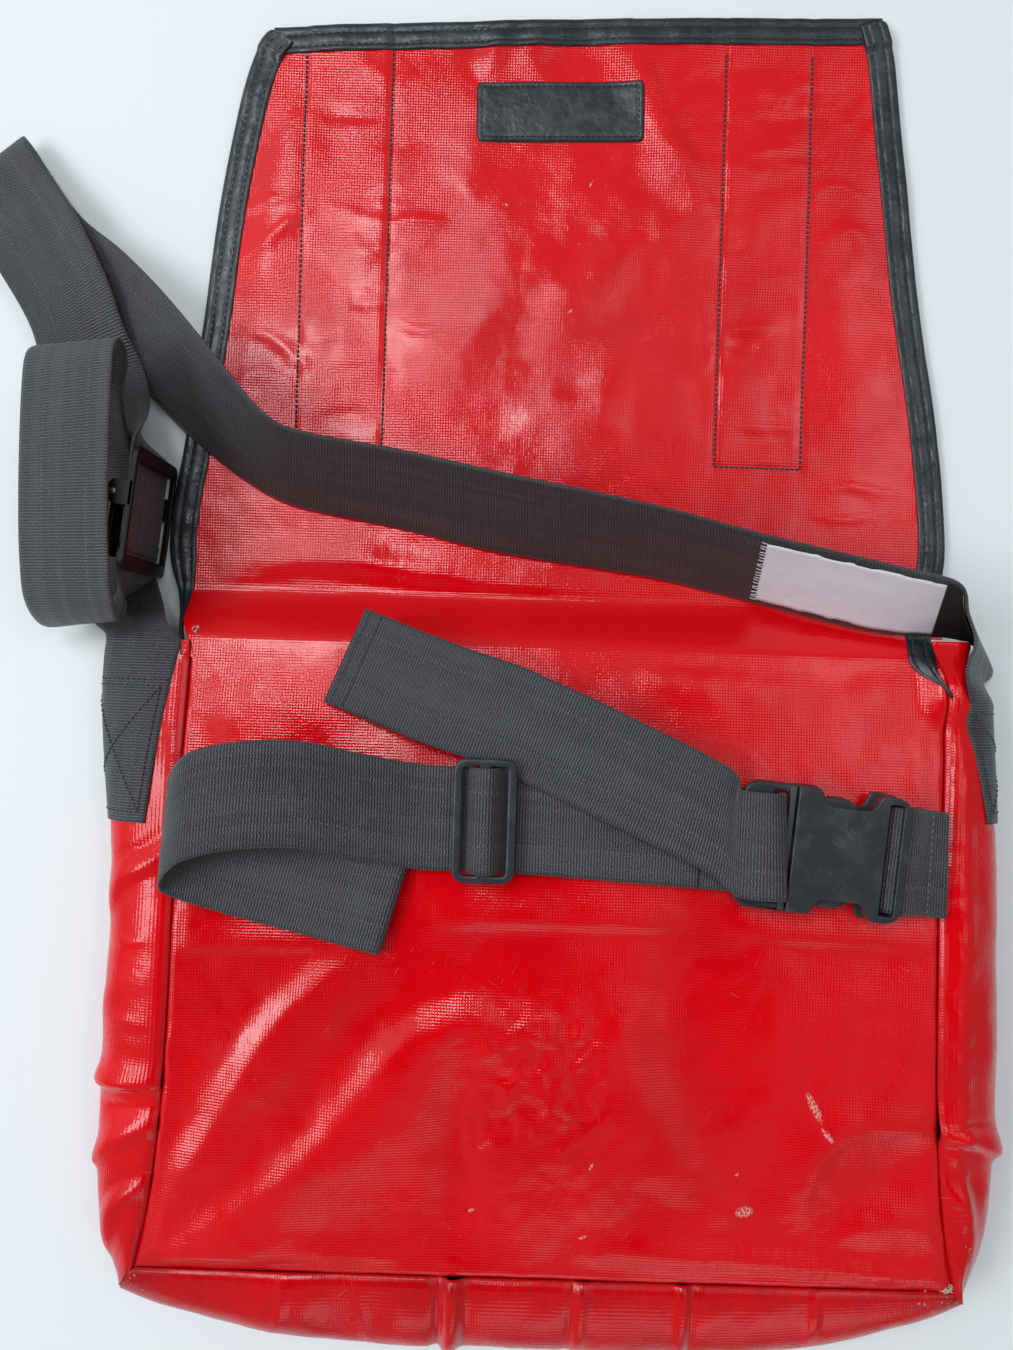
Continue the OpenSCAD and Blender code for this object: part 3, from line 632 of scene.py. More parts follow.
BACK_FOLDS = picked(
    BACK_FOLD_Z,
    # the two ridges that sweep up from the left corner
    (3.7, 9, 24, [(150, 1262, 0), (178, 1195, 0.8), (212, 1135, 1), (248, 1072, 1), (284, 1020, 1),
                  (332, 976, 0.7), (395, 942, 0)]),
    (5.4, 14, 30, [(156, 1268, 0.2), (210, 1247, 0.6), (256, 1213, 0.9), (305, 1172, 1), (353, 1117, 1),
                   (382, 1083, 1), (408, 1054, 1), (452, 1031, 1), (500, 1034, 0.8), (545, 1062, 0)]),
    # the swell below the crinkled patch
    (3.0, 40, 26, [(470, 1195, 0), (520, 1185, 1), (580, 1190, 1), (640, 1200, 0)]),
    # the one down the middle
    (-2.4, 10, 12, [(470, 1010, 0), (462, 1080, 1), (452, 1160, 1), (448, 1230, 0.8), (445, 1270, 0)]),
    (2.0, 14, 20, [(520, 1010, 0), (545, 1060, 1), (560, 1130, 1), (570, 1190, 0)]),
    # the pleat below the waist strap
    (1.6, 10, 3, [(180, 946, 0.6), (240, 944, 1), (300, 946, 1), (350, 948, 0.7), (400, 950, 0)]),
    (2.0, 14, 4, [(430, 925, 0), (480, 921, 1), (560, 922, 1), (640, 925, 1), (690, 925, 0)]),
    (1.6, 9, 4, [(720, 930, 0), (780, 935, 1), (860, 940, 1), (940, 946, 0.6)]),
    # the long curve on the right and the wrinkles in the right corner
    (-2.2, 26, 20, [(700, 900, 0), (690, 980, 1), (690, 1060, 1), (715, 1140, 1), (760, 1210, 0.8),
                    (800, 1255, 0)]),
    (1.8, 12, 22, [(640, 960, 0), (622, 1040, 0.8), (640, 1110, 1), (690, 1180, 1), (740, 1235, 0.6),
                   (780, 1262, 0)]),
    (2.4, 6, 12, [(940, 1131, 0.8), (900, 1128, 1), (855, 1132, 1), (825, 1155, 0.9), (805, 1195, 0.6),
                  (797, 1250, 0)]),
    (-1.8, 12, 12, [(930, 1160, 0.3), (890, 1180, 1), (850, 1215, 0.6), (820, 1240, 0)]),
    (2.0, 10, 10, [(820, 1245, 0), (870, 1232, 1), (915, 1228, 1), (950, 1245, 0.4)]),
    # the roll along the bottom seam
    (1.8, 8, 5, [(560, 1262, 0), (646, 1262, 1), (781, 1272, 1), (929, 1292, 0.8), (955, 1296, 0)]),
    (1.2, 8, 5, [(150, 1262, 0.3), (220, 1258, 1), (320, 1262, 1), (420, 1266, 0)]),
    # the pillow under the waist strap
    (3.2, 24, 30, [(230, 838, 0), (350, 838, 0.7), (500, 840, 1), (650, 842, 1), (800, 845, 0.6),
                   (900, 850, 0)]),
    # soft waves above it
    (1.6, 12, 18, [(200, 700, 0.3), (280, 705, 1), (350, 735, 0)]),
    (1.4, 16, 12, [(620, 640, 0), (700, 680, 1), (800, 700, 1), (900, 690, 0.4)]),
    (-1.4, 16, 16, [(560, 700, 0), (640, 730, 1), (740, 760, 0)]),
)


STRIP_FOLD_SHARE = 0.55


def cross_folds(left, right, rows):
    """Folds across a stitched strip between two pixel columns: (pixel row, height, width above,
    width below, the shares of the strip where it starts and ends, pixels that it climbs)."""
    folds = []
    for row, height, above, below, start, end, climb in rows:
        crest = [(mix(left, right, mix(start, end, t)), row + climb * (0.5 - t), share * STRIP_FOLD_SHARE)
                 for t, share in ((0, 0), (0.3, 1), (0.7, 1), (1, 0))]
        folds.append((height, above, below, crest))
    return folds


LEFT_STRIP_FOLDS = cross_folds(311, 394, (
    (70, 0.5, 5, 4, 0.35, 1.0, 6), (116, -0.9, 4, 3, 0.05, 1.0, -3), (128, 0.5, 3, 6, 0.3, 1.0, 4),
    (181, 0.7, 1.6, 3, 0.0, 0.9, 2), (194, -0.5, 3, 3, 0.2, 1.0, -3), (212, 0.6, 2, 3, 0.0, 1.0, -22),
    (232, -0.5, 3, 4, 0.1, 0.8, 8), (252, 0.5, 4, 3, 0.3, 1.0, 6), (283, -0.6, 2, 4, 0.0, 0.9, -8),
    (303, -0.8, 4, 3, 0.4, 1.05, 6), (334, 0.6, 3, 5, -0.05, 0.5, 26), (358, 0.7, 5, 3, 0.1, 1.0, 10),
    (386, -0.9, 6, 3, 0.45, 1.05, 26), (398, 0.6, 3, 5, 0.1, 0.8, 12), (415, -0.8, 3, 3, -0.05, 0.7, 10),
    (436, 0.5, 5, 5, 0.2, 1.0, 0),
))
RIGHT_STRIP_FOLDS = cross_folds(722, 804, (
    (64, -0.9, 5, 5, 0.05, 0.85, 5), (92, 0.5, 6, 4, 0.2, 1.0, -3), (121, -0.4, 3, 5, 0.5, 1.1, 5),
    (149, 0.6, 2, 3, 0.3, 1.0, 6), (170, 0.6, 4, 3, 0.0, 0.6, -9), (187, -0.9, 4, 4, 0.15, 1.05, 16),
    (222, 0.5, 5, 3, 0.1, 0.9, 5), (249, -0.5, 2, 3, -0.05, 0.35, 3), (277, 0.6, 3, 5, 0.2, 1.0, 4),
    (304, -0.9, 5, 5, 0.0, 1.05, -6), (329, 0.7, 3, 2, 0.0, 0.8, 5), (346, -0.8, 4, 4, 0.0, 0.5, 3),
    (372, 0.5, 4, 6, 0.2, 1.0, 2), (408, 0.4, 3, 3, 0.5, 1.05, 5), (426, 0.7, 1.5, 3, 0.0, 1.0, -3),
    (441, -0.8, 4, 4, 0.1, 0.9, 2), (464, 0.6, 2, 2, 0.0, 1.0, 2),
))

FLAP_FOLDS = picked(
    FLAP_FOLD_Z,
    *LEFT_STRIP_FOLDS,
    *RIGHT_STRIP_FOLDS,
    # creases left of the left strip and right of the right one
    (0.9, 2.5, 4, [(232, 262, 0), (262, 245, 1), (290, 222, 1), (309, 205, 0.4)]),
    (0.8, 3, 3, [(238, 210, 0.3), (270, 202, 1), (306, 196, 0)]),
    (0.8, 4, 3, [(230, 330, 0), (265, 335, 1), (300, 362, 0.6), (308, 372, 0)]),
    (0.7, 3, 5, [(228, 385, 0), (262, 372, 1), (304, 392, 0)]),
    (0.8, 3, 2, [(808, 196, 0.5), (838, 188, 1), (868, 205, 0)]),
    (0.9, 4, 5, [(812, 250, 0), (850, 232, 1), (880, 262, 0)]),
    (0.7, 2, 3, [(815, 492, 0), (850, 486, 1), (892, 494, 0.5)]),
    (0.7, 2, 2, [(800, 512, 0), (846, 520, 1), (890, 512, 0)]),
    # creases right of the left strip
    (0.8, 3, 2, [(396, 222, 0.4), (425, 220, 1), (450, 224, 0)]),
    (0.7, 3, 3, [(398, 322, 0.3), (420, 330, 1), (446, 326, 0)]),
    # broad waves
    (1.3, 18, 14, [(405, 470, 0), (430, 390, 0.9), (500, 300, 1), (590, 262, 0.8), (650, 240, 0)]),
    (1.6, 9, 16, [(520, 335, 0), (561, 301, 1), (600, 275, 1), (650, 245, 1), (700, 212, 0.8),
                  (718, 200, 0)]),
    (1.8, 7, 12, [(636, 45, 0.6), (645, 80, 1), (665, 130, 1), (690, 175, 0.8), (705, 215, 0)]),
    (1.2, 7, 7, [(500, 44, 1), (492, 60, 1), (478, 78, 0)]),
    (1.2, 7, 7, [(540, 44, 1), (530, 60, 0.8), (520, 78, 0)]),
    (2.0, 12, 16, [(250, 330, 0.2), (270, 250, 1), (285, 170, 1), (300, 100, 0)]),
    (1.8, 16, 20, [(840, 470, 0), (850, 380, 1), (845, 300, 1), (850, 200, 0.5), (840, 120, 0)]),
    (1.0, 18, 18, [(560, 470, 0), (610, 400, 1), (680, 340, 0)]),
    (2.4, 9, 9, [(200, 575, 0), (300, 560, 0.8), (420, 575, 1), (560, 600, 1), (700, 640, 0.6),
                 (760, 650, 0)]),
    (-1.6, 8, 8, [(210, 600, 0), (330, 590, 1), (450, 605, 1), (560, 625, 0)]),
)

# the crinkled patch in the middle of the back panel: its middle and its half sizes
CRINKLE = (*seen(543, 1080, 38.0), 34.0, 38.0)

# the flap's sides and free edge, from the mouth on
LEFT_EDGE = [(-177, 0), (-181, 9), (-186, 19), (-189, 28.3), (-194, 48), (-192, 75), (-188, 100),
             (-181, 160), (-174, 222),
             (-165, 273), (-158, 297), (-150.5, 307.5)]
RIGHT_EDGE = [(182, 0), (183.5, 9), (185.5, 19), (186.5, 28.3), (188, 52), (187, 80), (182, 120),
              (171, 184), (162, 253),
              (156, 300), (150.3, 321)]
FREE_EDGE = [(-150.5, 307.5), (-60, 313), (40, 318), (150.3, 321)]
DRAPE = [(0, 24), (6.2, 22.4), (12.6, 17.5), (19, 10.9), (24.1, 6.2), (28, 3.8), (36, 3.0), (60, 2.9),
         (330, 2.9)]
GRIP_X = (-113.0, 95.0)
GRIP_HALF = 24.0
HOOK_Y = (95.0, 297.0)
STITCH_IN = 2.6


def side_x(edge, y):
    """Where a side of the flap runs at y."""
    ys, xs = [p[1] for p in edge], [p[0] for p in edge]
    return hermite(np.clip(y, ys[0], ys[-1]), ys, xs)


def free_y(x):
    """Where the flap's free edge runs at x."""
    return np.interp(x, [p[0] for p in FREE_EDGE], [p[1] for p in FREE_EDGE])


def seam_dip(x, y):
    """The outer face turns down into the seams at the back panel's sides and bottom."""
    v = -y / PANEL_H
    from_side = half_w(v) + right_shift(x, v) - np.abs(x)
    from_foot = PANEL_H + y
    inside = np.minimum(from_side + 40 * ease((y + 6) / 6), from_foot)
    width = 1.2 + 0.5 * value_noise(x, y, 11, 19)
    return -1.9 * np.exp(-((np.maximum(inside, 0) / width) ** 1.4))


def grip_channel(x, y):
    """The stitch rows that hold the hook strips draw thin valleys into the flap."""
    total = np.zeros_like(x)
    for middle in GRIP_X:
        end = ease((y - HOOK_Y[0] + 2) / 3)
        for side in (-1, 1):
            off = x - middle - side * (GRIP_HALF - STITCH_IN)
            total -= 0.5 * np.exp(-((off / 1.6) ** 2)) * end
            ripples = value_noise(y, np.full_like(y, middle + 40 * side), 4.2, 88)
            beside = np.exp(-((off / 6.5) ** 2)) * (1 - np.exp(-((off / 1.2) ** 2)))
            total += 0.22 * ripples * beside * end
        across = np.exp(-(((y - HOOK_Y[0] - STITCH_IN) / 1.6) ** 2))
        total -= 0.5 * across * ease((GRIP_HALF - np.abs(x - middle)) / 2)
        total += 0.35 * ease((GRIP_HALF - np.abs(x - middle)) / 3) * end
    return total


def sheet_z(x, y):
    """Height of the outer face of the one sheet that is the back panel and the flap."""
    v = np.clip(-y / PANEL_H, 0, 1)
    u = np.clip(x / half_w(v), -1, 1)
    panel = edge_z(v) - CROWN_SAG * np.sin(np.pi * v) * (1 - u * u)
    panel = panel + seam_dip(x, np.minimum(y, 0)) * (y < 0)
    drape = hermite(np.clip(y, 0, 330), [p[0] for p in DRAPE], [p[1] for p in DRAPE])
    base = np.where(y < 0, panel, drape)
    back = ease(-y / 12)
    flap = ease((y - 26) / 20)
    waves = 0.9 * crumple(x, y, 55, 3, 2) + 0.35 * crumple(x, y, 17, 9, 2) + 0.07 * crumple(x, y, 6, 15, 1)
    crinkled = np.exp(-(((x - CRINKLE[0]) / CRINKLE[2]) ** 4 + ((y - CRINKLE[1]) / CRINKLE[3]) ** 4))
    relief = fold_relief(x, y, BACK_FOLDS) + waves + 0.9 * crinkled * crumple(x, y, 6.5, 71, 2)
    on_flap = fold_relief(x, y, FLAP_FOLDS) + grip_channel(x, y) + 0.8 * (waves + 0.9)
    edge_calm = ease((np.minimum(half_w(v) - np.abs(x), PANEL_H + y)) / 10)
    z = base + relief * back * edge_calm + np.maximum(on_flap, -1.0) * flap
    z = z + NECK_RISE * neck_at(v) * ease((x - 166) / 16) * (1 - ease(y / 8))
    return np.where(y > 0, np.maximum(z, TARP_T + 0.9), z)


def spread(start, stop, step):
    """Numbers from start to just before stop, about a step apart."""
    return np.linspace(start, stop, max(2, int(round(abs(stop - start) / step)) + 1))[:-1]


def spans(*parts):
    """Numbers over parts that follow one another, each (start, stop, step)."""
    return np.concatenate([spread(*part) for part in parts] + [[parts[-1][1]]])


def sheet_places():
    """(x, y) of the sheet's grid: rows from the bottom seam to the free edge."""
    c = spans((-1, -0.945, 0.007), (-0.945, 0.945, 0.0095), (0.945, 1, 0.007))
    rows = []
    for y in spans((-PANEL_H, -280, 1.0), (-280, -6, 1.8), (-6, 32, 1.3))[:-1]:
        v = max(-y / PANEL_H, 0)
        left = -half_w(v) if y < 0 else float(side_x(LEFT_EDGE, np.array(y)))
        right = half_w(v) + right_shift(1, v) if y < 0 else float(side_x(RIGHT_EDGE, np.array(y)))
        rows.append(np.stack([mix(left, right, (c + 1) / 2), np.full_like(c, y)], axis=-1))
    for t in spans((0, 1, 1.7 / 285)):
        y = mix(32.0, free_y(mix(-150.5, 150.3, (c + 1) / 2)), t)
        x = mix(side_x(LEFT_EDGE, y), side_x(RIGHT_EDGE, y), (c + 1) / 2)
        rows.append(np.stack([x, y], axis=-1))
    return np.array(rows)


def corner_grime(x, y):
    """Dirt gathers at the two bottom corners."""
    return sum(np.exp(-np.hypot(x - side * half_w(1.0), y + PANEL_H) / 16) for side in (-1, 1))


def make_tarp_sheet(material):
    """The back panel and the flap as one sheet. Gives back its places."""
    places = sheet_places()
    x, y = places[..., 0], places[..., 1]
    grid = np.dstack([places, sheet_z(x, y)])
    v = np.clip(-y / PANEL_H, 0, 1)
    from_seam = np.minimum(half_w(v) + right_shift(x, v) - np.abs(x), PANEL_H + y)
    # darker along the seams, and at the bottom corners where dirt gathers
    darkening = np.where(y < 0, 0.3 * np.exp(-from_seam / 2.0) + 0.3 * corner_grime(x, y), 0.0)
    obj = make_sheet("back_and_flap", grid, places, material, TARP_T, darkening=darkening)
    attach(obj, "tarpaulin", "fold", "back_panel", "flap_fold", "flap_panel")
    return grid


# ---- gussets, bottom and front ----

# folds on the gussets, as places (y, millimetres down from the upper seam, share)
SIDE_ARC = 78.0
LEFT_FOLDS = [
    (3.4, 2, 7, [(-203, 1, 0.5), (-204, 14, 1), (-206, 30, 1), (-206, 48, 0)]),
    (-2.4, 5, 5, [(-214, 1, 0.4), (-216, 16, 1), (-218, 34, 0)]),
    (3.0, 3, 7, [(-222, 1, 0.4), (-230, 14, 1), (-244, 30, 1), (-250, 44, 0)]),
    (2.6, 3, 6, [(-250, 1, 0.4), (-258, 12, 1), (-270, 26, 0.8), (-276, 36, 0)]),
    (-1.8, 3, 4, [(-246, 2, 0.2), (-252, 14, 1), (-262, 30, 0)]),
    (2.4, 3, 8, [(-97, 3, 0.6), (-104, 12, 1), (-112, 22, 1), (-130, 34, 0)]),
    (-2.0, 4, 3, [(-88, 4, 0.5), (-95, 12, 1), (-100, 26, 0)]),
    (1.2, 6, 6, [(-150, 10, 0), (-165, 26, 1), (-185, 34, 0)]),
    (1.0, 2, 2, [(-136, 6, 0), (-138, 18, 1), (-139, 30, 0)]),
    (0.9, 2, 3, [(-176, 4, 0), (-175, 16, 1), (-178, 28, 0)]),
]
RIGHT_FOLDS = [
    (4.6, 3, 9, [(-214, 1, 0.8), (-218, 14, 1), (-226, 28, 1), (-232, 42, 0.4), (-236, 52, 0)]),
    (-2.4, 3, 3, [(-209, 2, 0.6), (-211, 14, 1), (-214, 30, 0)]),
    (-2.0, 6, 6, [(-230, 2, 0.4), (-238, 12, 1), (-246, 24, 0)]),
    (1.8, 4, 5, [(-236, 3, 0.2), (-250, 9, 1), (-268, 14, 0.8), (-280, 16, 0)]),
    (1.2, 8, 8, [(-150, 8, 0), (-170, 20, 1), (-195, 24, 0)]),
    (1.0, 6, 6, [(-100, 6, 0), (-125, 12, 1), (-150, 10, 0)]),
]
# folds on the bottom panel, as places (x, millimetres down from the upper seam, share)
FOOT_FOLDS = [
    (3.4, 2.2, 5, [(-43, 0, 0.8), (-43, 14, 1), (-45, 34, 0.9), (-46, 60, 0)]),
    (-2.2, 3, 2.4, [(-49, 1, 0.7), (-49, 20, 1), (-50, 44, 0)]),
    (-1.2, 3, 4, [(-36, 2, 0.4), (-37, 18, 1), (-38, 36, 0)]),
    (1.6, 1.4, 3, [(18, 1, 0.8), (17, 18, 1), (16, 40, 0)]),
    (-1.2, 2.2, 1.2, [(14, 1, 0.8), (13, 18, 1), (12, 40, 0)]),
    (1.8, 3, 1.4, [(66, 1, 0.8), (66, 20, 1), (65, 44, 0)]),
    (-1.0, 1.2, 2.2, [(70, 1, 0.8), (70, 18, 1), (69, 40, 0)]),
    (1.2, 1.4, 3, [(127, 2, 0.5), (127, 12, 1), (126, 24, 0)]),
    (0.9, 2, 3, [(-122, 2, 0.3), (-124, 16, 1), (-130, 34, 0)]),
    (0.9, 3, 2, [(-86, 2, 0.3), (-84, 14, 1), (-80, 30, 0)]),
    (-1.4, 14, 14, [(-110, 10, 0), (-90, 16, 1), (-70, 20, 0)]),
    (1.2, 16, 16, [(-150, 8, 0), (-120, 14, 1), (-100, 12, 0)]),
]
MOUTH_FLARE = 0.034
LIP_SHARE = 0.10


def seam_tuck(arc, length):
    """How far a gusset or the bottom panel turns in at its two seams."""
    edge = np.minimum(arc, length - arc)
    return -1.7 * np.exp(-((edge / 1.4) ** 1.5))


def neck_move(v, s):
    """How far the right gusset and the webbing sewn on it move out and up near the mouth."""
    near = 1 - ease(s / 0.5)
    return near * right_shift(1, v), near * NECK_RISE * neck_at(v)


def make_gusset(side, material):
    """The gusset on the left (side -1) or right (side 1). Gives back its places."""
    name = "left_gusset" if side < 0 else "right_gusset"
    folds = LEFT_FOLDS if side < 0 else RIGHT_FOLDS
    v = spans((-MOUTH_FLARE, 0, 0.004), (0, 1, 0.0055))
    s = spans((0, 0.16, 0.010), (0.16, 0.88, 0.02), (0.88, 1, 0.012))
    v, s = np.meshgrid(v, s, indexing="ij")
    y, arc = -PANEL_H * v, s * SIDE_ARC
    calm = ease(v / 0.03)
    lift = fold_relief(y, arc, folds) * calm + seam_tuck(arc, SIDE_ARC) * calm
    lift = lift + (0.45 * crumple(y, arc, 34, 21, 3)) * ease(s / 0.1) * ease((0.75 - s) / 0.2) * calm
    if side > 0:
        # the rounded ridge beside the seam
        crest = mix(3.6, 7.5, ease((v - 0.08) / 0.15))
        ridge = np.exp(-(((arc - crest) / (0.6 * crest)) ** 2)) * (1 + 0.3 * value_noise(y, arc, 5, 23))
        lift = lift + mix(1.0, 1.8, ease((v - 0.08) / 0.15)) * ridge * calm
        # the cloth lies flat under the sewn webbing
        covered = ease((s - np.interp(y, *zip(*SEWN_RIGHT))) / 0.03) * ease((y - SEWN_RIGHT[0][0] + 4) / 6)
        lift = mix(lift, -1.6, covered)
    grid = side_grid(side, np.maximum(v, 0), s, lift)
    past = np.clip(-v / MOUTH_FLARE, 0, 1)
    if side < 0:
        grid[..., 1] += past * 3.0
    else:
        # the free lip beside the webbing stands up and opens from its neck just below the mouth
        lip, upper = ease((LIP_SHARE + 0.015 - s) / 0.03), np.clip(1 - s / LIP_SHARE, 0, 1)
        out, up = neck_move(v, s)
        tip = ease((0.032 - v) / (0.032 + MOUTH_FLARE))
        grid[..., 0] += out + lip * tip * (3 - 14 * upper) - 5.0 * ease((0.06 - v) / 0.05) * (1 - lip)
        grid[..., 1] += lip * (past * MOUTH_FLARE * PANEL_H + tip * 3)
        grid[..., 2] += up + lip * 6 * tip * ease(upper * 2.5)
    # darker along both seams and towards the bottom end
    darkening = 0.3 * np.exp(-np.minimum(arc, SIDE_ARC - arc) / 2.0) + 0.5 * np.exp((v - 1) * PANEL_H / 20)
    obj = make_sheet(name + "_cloth", grid, np.dstack([y, arc]), material, TARP_T, flip=side < 0,
                     darkening=darkening)
    attach(obj, "tarpaulin", "bag", name)
    return grid


def make_bottom(material):
    s = spans((0, 0.12, 0.012), (0.12, 0.88, 0.02), (0.88, 1, 0.012))
    u, s = np.meshgrid(np.linspace(-1, 1, 270), s, indexing="ij")
    x, arc = u * half_w(1.0), s * SIDE_ARC
    lift = fold_relief(x, arc, FOOT_FOLDS) + seam_tuck(arc, SIDE_ARC)
    lift = lift + 0.6 * crumple(x, arc, 30, 33, 3) * ease(s / 0.1) * ease((0.75 - s) / 0.2) * (1 - u**8)
    grid = foot_grid(u, s, lift)
    # darker all over, and more along the upper seam and at the two ends
    worn = 0.16 + 0.24 * np.abs(value_noise(x, arc, 26, 47))
    darkening = worn + 0.2 * np.exp(-arc / 3.0) + 0.5 * np.exp((np.abs(x) - half_w(1.0)) / 14)
    obj = make_sheet("bottom_cloth", grid, np.dstack([x, arc]), material, TARP_T, flip=True, darkening=darkening)
    attach(obj, "tarpaulin", "bag", "bottom_panel")
    return grid


LOOP_Y = (-282.0, -94.0)


def front_z(x, y):
    """Height of the front panel's outer face, which steps up over the two loop strips."""
    over = np.zeros_like(x)
    for middle in GRIP_X:
        inside = np.minimum(GRIP_HALF - np.abs(x - middle), np.minimum(y - LOOP_Y[0], LOOP_Y[1] - y))
        over = np.maximum(over, ease((inside + 1.5) / 2.0))
    return 0.15 + 0.95 * over


def make_front(material):
    v, c = np.meshgrid(np.linspace(0, 1, 120), np.linspace(-1, 1, 150), indexing="ij")
    x, y = c * half_w(v), -PANEL_H * v
    grid = np.dstack([x, y, front_z(x, y)])
    obj = make_sheet("front_cloth", grid, np.dstack([x, y]), material, TARP_T, flip=True)
    attach(obj, "tarpaulin", "bag", "front_panel")


# ---- hook and loop tape ----


def make_tape(name, node, x, ys, z0, z1, material, body, seed):
    """A strip of tape with its pile on the lower face, thinner along its selvedges."""
    y, a = np.meshgrid(np.linspace(*ys, 130), np.linspace(-1, 1, 33), indexing="ij")
    px = x + a * GRIP_HALF
    selvedge = ease((1 - np.abs(a)) / 0.12)
    pile = 0.25 * np.abs(value_noise(px, y, 1.9, seed)) * selvedge
    low = np.dstack([px, y, z0 + 0.25 * (1 - selvedge) + 0.25 - pile])
    high = np.dstack([px, y, np.full_like(px, z1)])
    obj = closed_band(name, high, low, np.dstack([px, y]), material)
    attach(obj, "grip_tape", body, node)


def closed_band(name, top, bottom, uvs, material, flip=False):
    """A closed solid between two grids of places."""
    rows, cols = top.shape[:2]
    ring = np.concatenate([top, bottom[:, ::-1]], axis=1)
    ring_uv = np.concatenate([uvs, uvs[:, ::-1]], axis=1)
    around = 2 * cols
    faces = ring_faces(rows, around)
    k = np.arange(cols - 1)
    cap = np.stack([k, around - 1 - k, around - 2 - k, k + 1], axis=-1)
    last = (rows - 1) * around
    faces = np.concatenate([faces, cap, (cap + last)[:, ::-1]])
    if flip:
        faces = faces[:, ::-1]
    return make_mesh(name, ring.reshape(-1, 3), faces, ring_uv.reshape(-1, 2) * UV_MM, material)


# ---- the flap's rubber binding ----

# Its section from the inner edge over the top and back below: (in from the flap's edge, up from the sheet)
BINDING_SECTION = [
    (12.0, 0.0), (12.1, 0.5), (11.7, 0.9), (10.8, 1.0), (9.8, 0.95), (9.1, 0.65), (8.4, 0.95), (7.0, 1.15),
    (5.4, 1.2), (4.0, 1.05), (3.4, 0.7), (2.7, 1.05), (1.4, 1.25), (0.1, 1.1), (-0.9, 0.6), (-1.3, -0.2),
    (-1.3, -1.1), (-0.7, -1.9), (0.6, -2.2), (4.0, -2.2), (8.0, -2.2), (11.6, -2.1), (12.0, -1.5),
    (12.0, -1.0),
]
STITCH_POINTS = (5, 10)


def left_of(path):
    """Unit directions to the left of a flat path."""
    along = unit(np.gradient(path, axis=0))
    return np.stack([-along[:, 1], along[:, 0]], axis=-1)


def binding_points(path, inward_left, seed, taper, lap):
    """Rows of the binding's section along the flap's edge. It narrows over its first taper
    millimetres, and its end rises over the strip that it laps."""
    inward = left_of(path) * (1 if inward_left else -1)
    n, length = len(path), run_along(path)
    narrow = mix(0.12, 1.0, ease((length / taper - 0.35) / 0.65)) if taper else np.ones(n)
    raised = lap * ease((length - length[-1] + 13.5) / 1.5)
    last = np.clip((length - length[-1] + 5) / 5, 0, 1)
    cut = 3.5 * (1 - np.sqrt(1 - last**2)) * (lap > 0)
    rows = []
    for depth, up in BINDING_SECTION:
        wave = 1 + 0.25 * value_noise(length, np.full(n, depth * 0.7), 6.5, seed) * (0.3 < up)
        deep = (depth + 1.3) * narrow - 1.3 + cut * np.clip((5 - depth) / 5, 0, 1)
        place = path + inward * deep[:, None]
        rest = path + inward * np.maximum(deep, 2.5)[:, None]
        z = sheet_z(rest[:, 0], rest[:, 1]) + up * wave + raised * (up > 0)
        rows.append(np.column_stack([place, np.maximum(z, 0.15)]))
    return np.stack(rows, axis=1), length


def smooth_path(points, step):
    """Places about a step apart on a smooth curve through points."""
    line = through(points, 30 * len(points))
    length = run_along(line)
    at = np.linspace(0, length[-1], int(length[-1] / step) + 1)
    return at_lengths(at, length, line)


def make_binding(side, points, inward_left, material, body, seed, taper, lap):
    """One piece of the binding. Gives back the rows of places where it is stitched."""
    rows, length = binding_points(smooth_path(points, 2.0), inward_left, seed, taper, lap)
    n, around = rows.shape[:2]
    faces = ring_faces(n, around)
    ends = [list(range(around)), list(range((n - 1) * around, n * around))[::-1]]
    if inward_left:
        faces, ends = faces[:, ::-1], [e[::-1] for e in ends]
    uv = np.stack(np.meshgrid(length, np.arange(around) * 1.2, indexing="ij"), axis=-1)
    name = "binding_rubber_" + side
    obj = make_mesh(name, rows.reshape(-1, 3), list(faces) + ends, uv.reshape(-1, 2) * UV_MM, material)
    attach(obj, "binding_rubber", body, "binding_" + side)
    kept = rows[(length > 0.8 * taper) & (length < length[-1] - (3 if lap else 0))]
    return [on_sheet_at(kept[:, k]) for k in STITCH_POINTS]


def make_bindings(rubber, thread):
    """The binding's pieces on the flap's two sides and free edge, with their stitches."""
    left = [(-179.5, -14), (-180.5, 0), (-184, 14)] + LEFT_EDGE[3:-1] + [(-151.0, 307.6)]
    right = [(184, -16), (178, -4), (178, 10), (183, 26)] + RIGHT_EDGE[4:-1] + [(150.4, 321.2)]
    edge = [(-151, 307.2), (-60, 313), (40, 318), (150, 321.2)]
    pieces = []
    for side, points, inward_left, body, seed, taper, lap in (
        ("left", left, False, "fold", 61, 62.0, 1.5),
        ("right", right, True, "fold", 62, 22.0, 1.5),
        ("edge", edge, False, "flap", 63, 0.0, 0.0),
    ):
        runs = make_binding(side, points, inward_left, rubber, body, seed, taper, lap)
        pieces.append((side, body, runs))
    for side, body, runs in pieces:
        sewing("thread_binding_" + side, runs, thread, body, "binding_rubber", radius=0.42, length=2.5,
               gap=0.9)


# ---- stitches ----


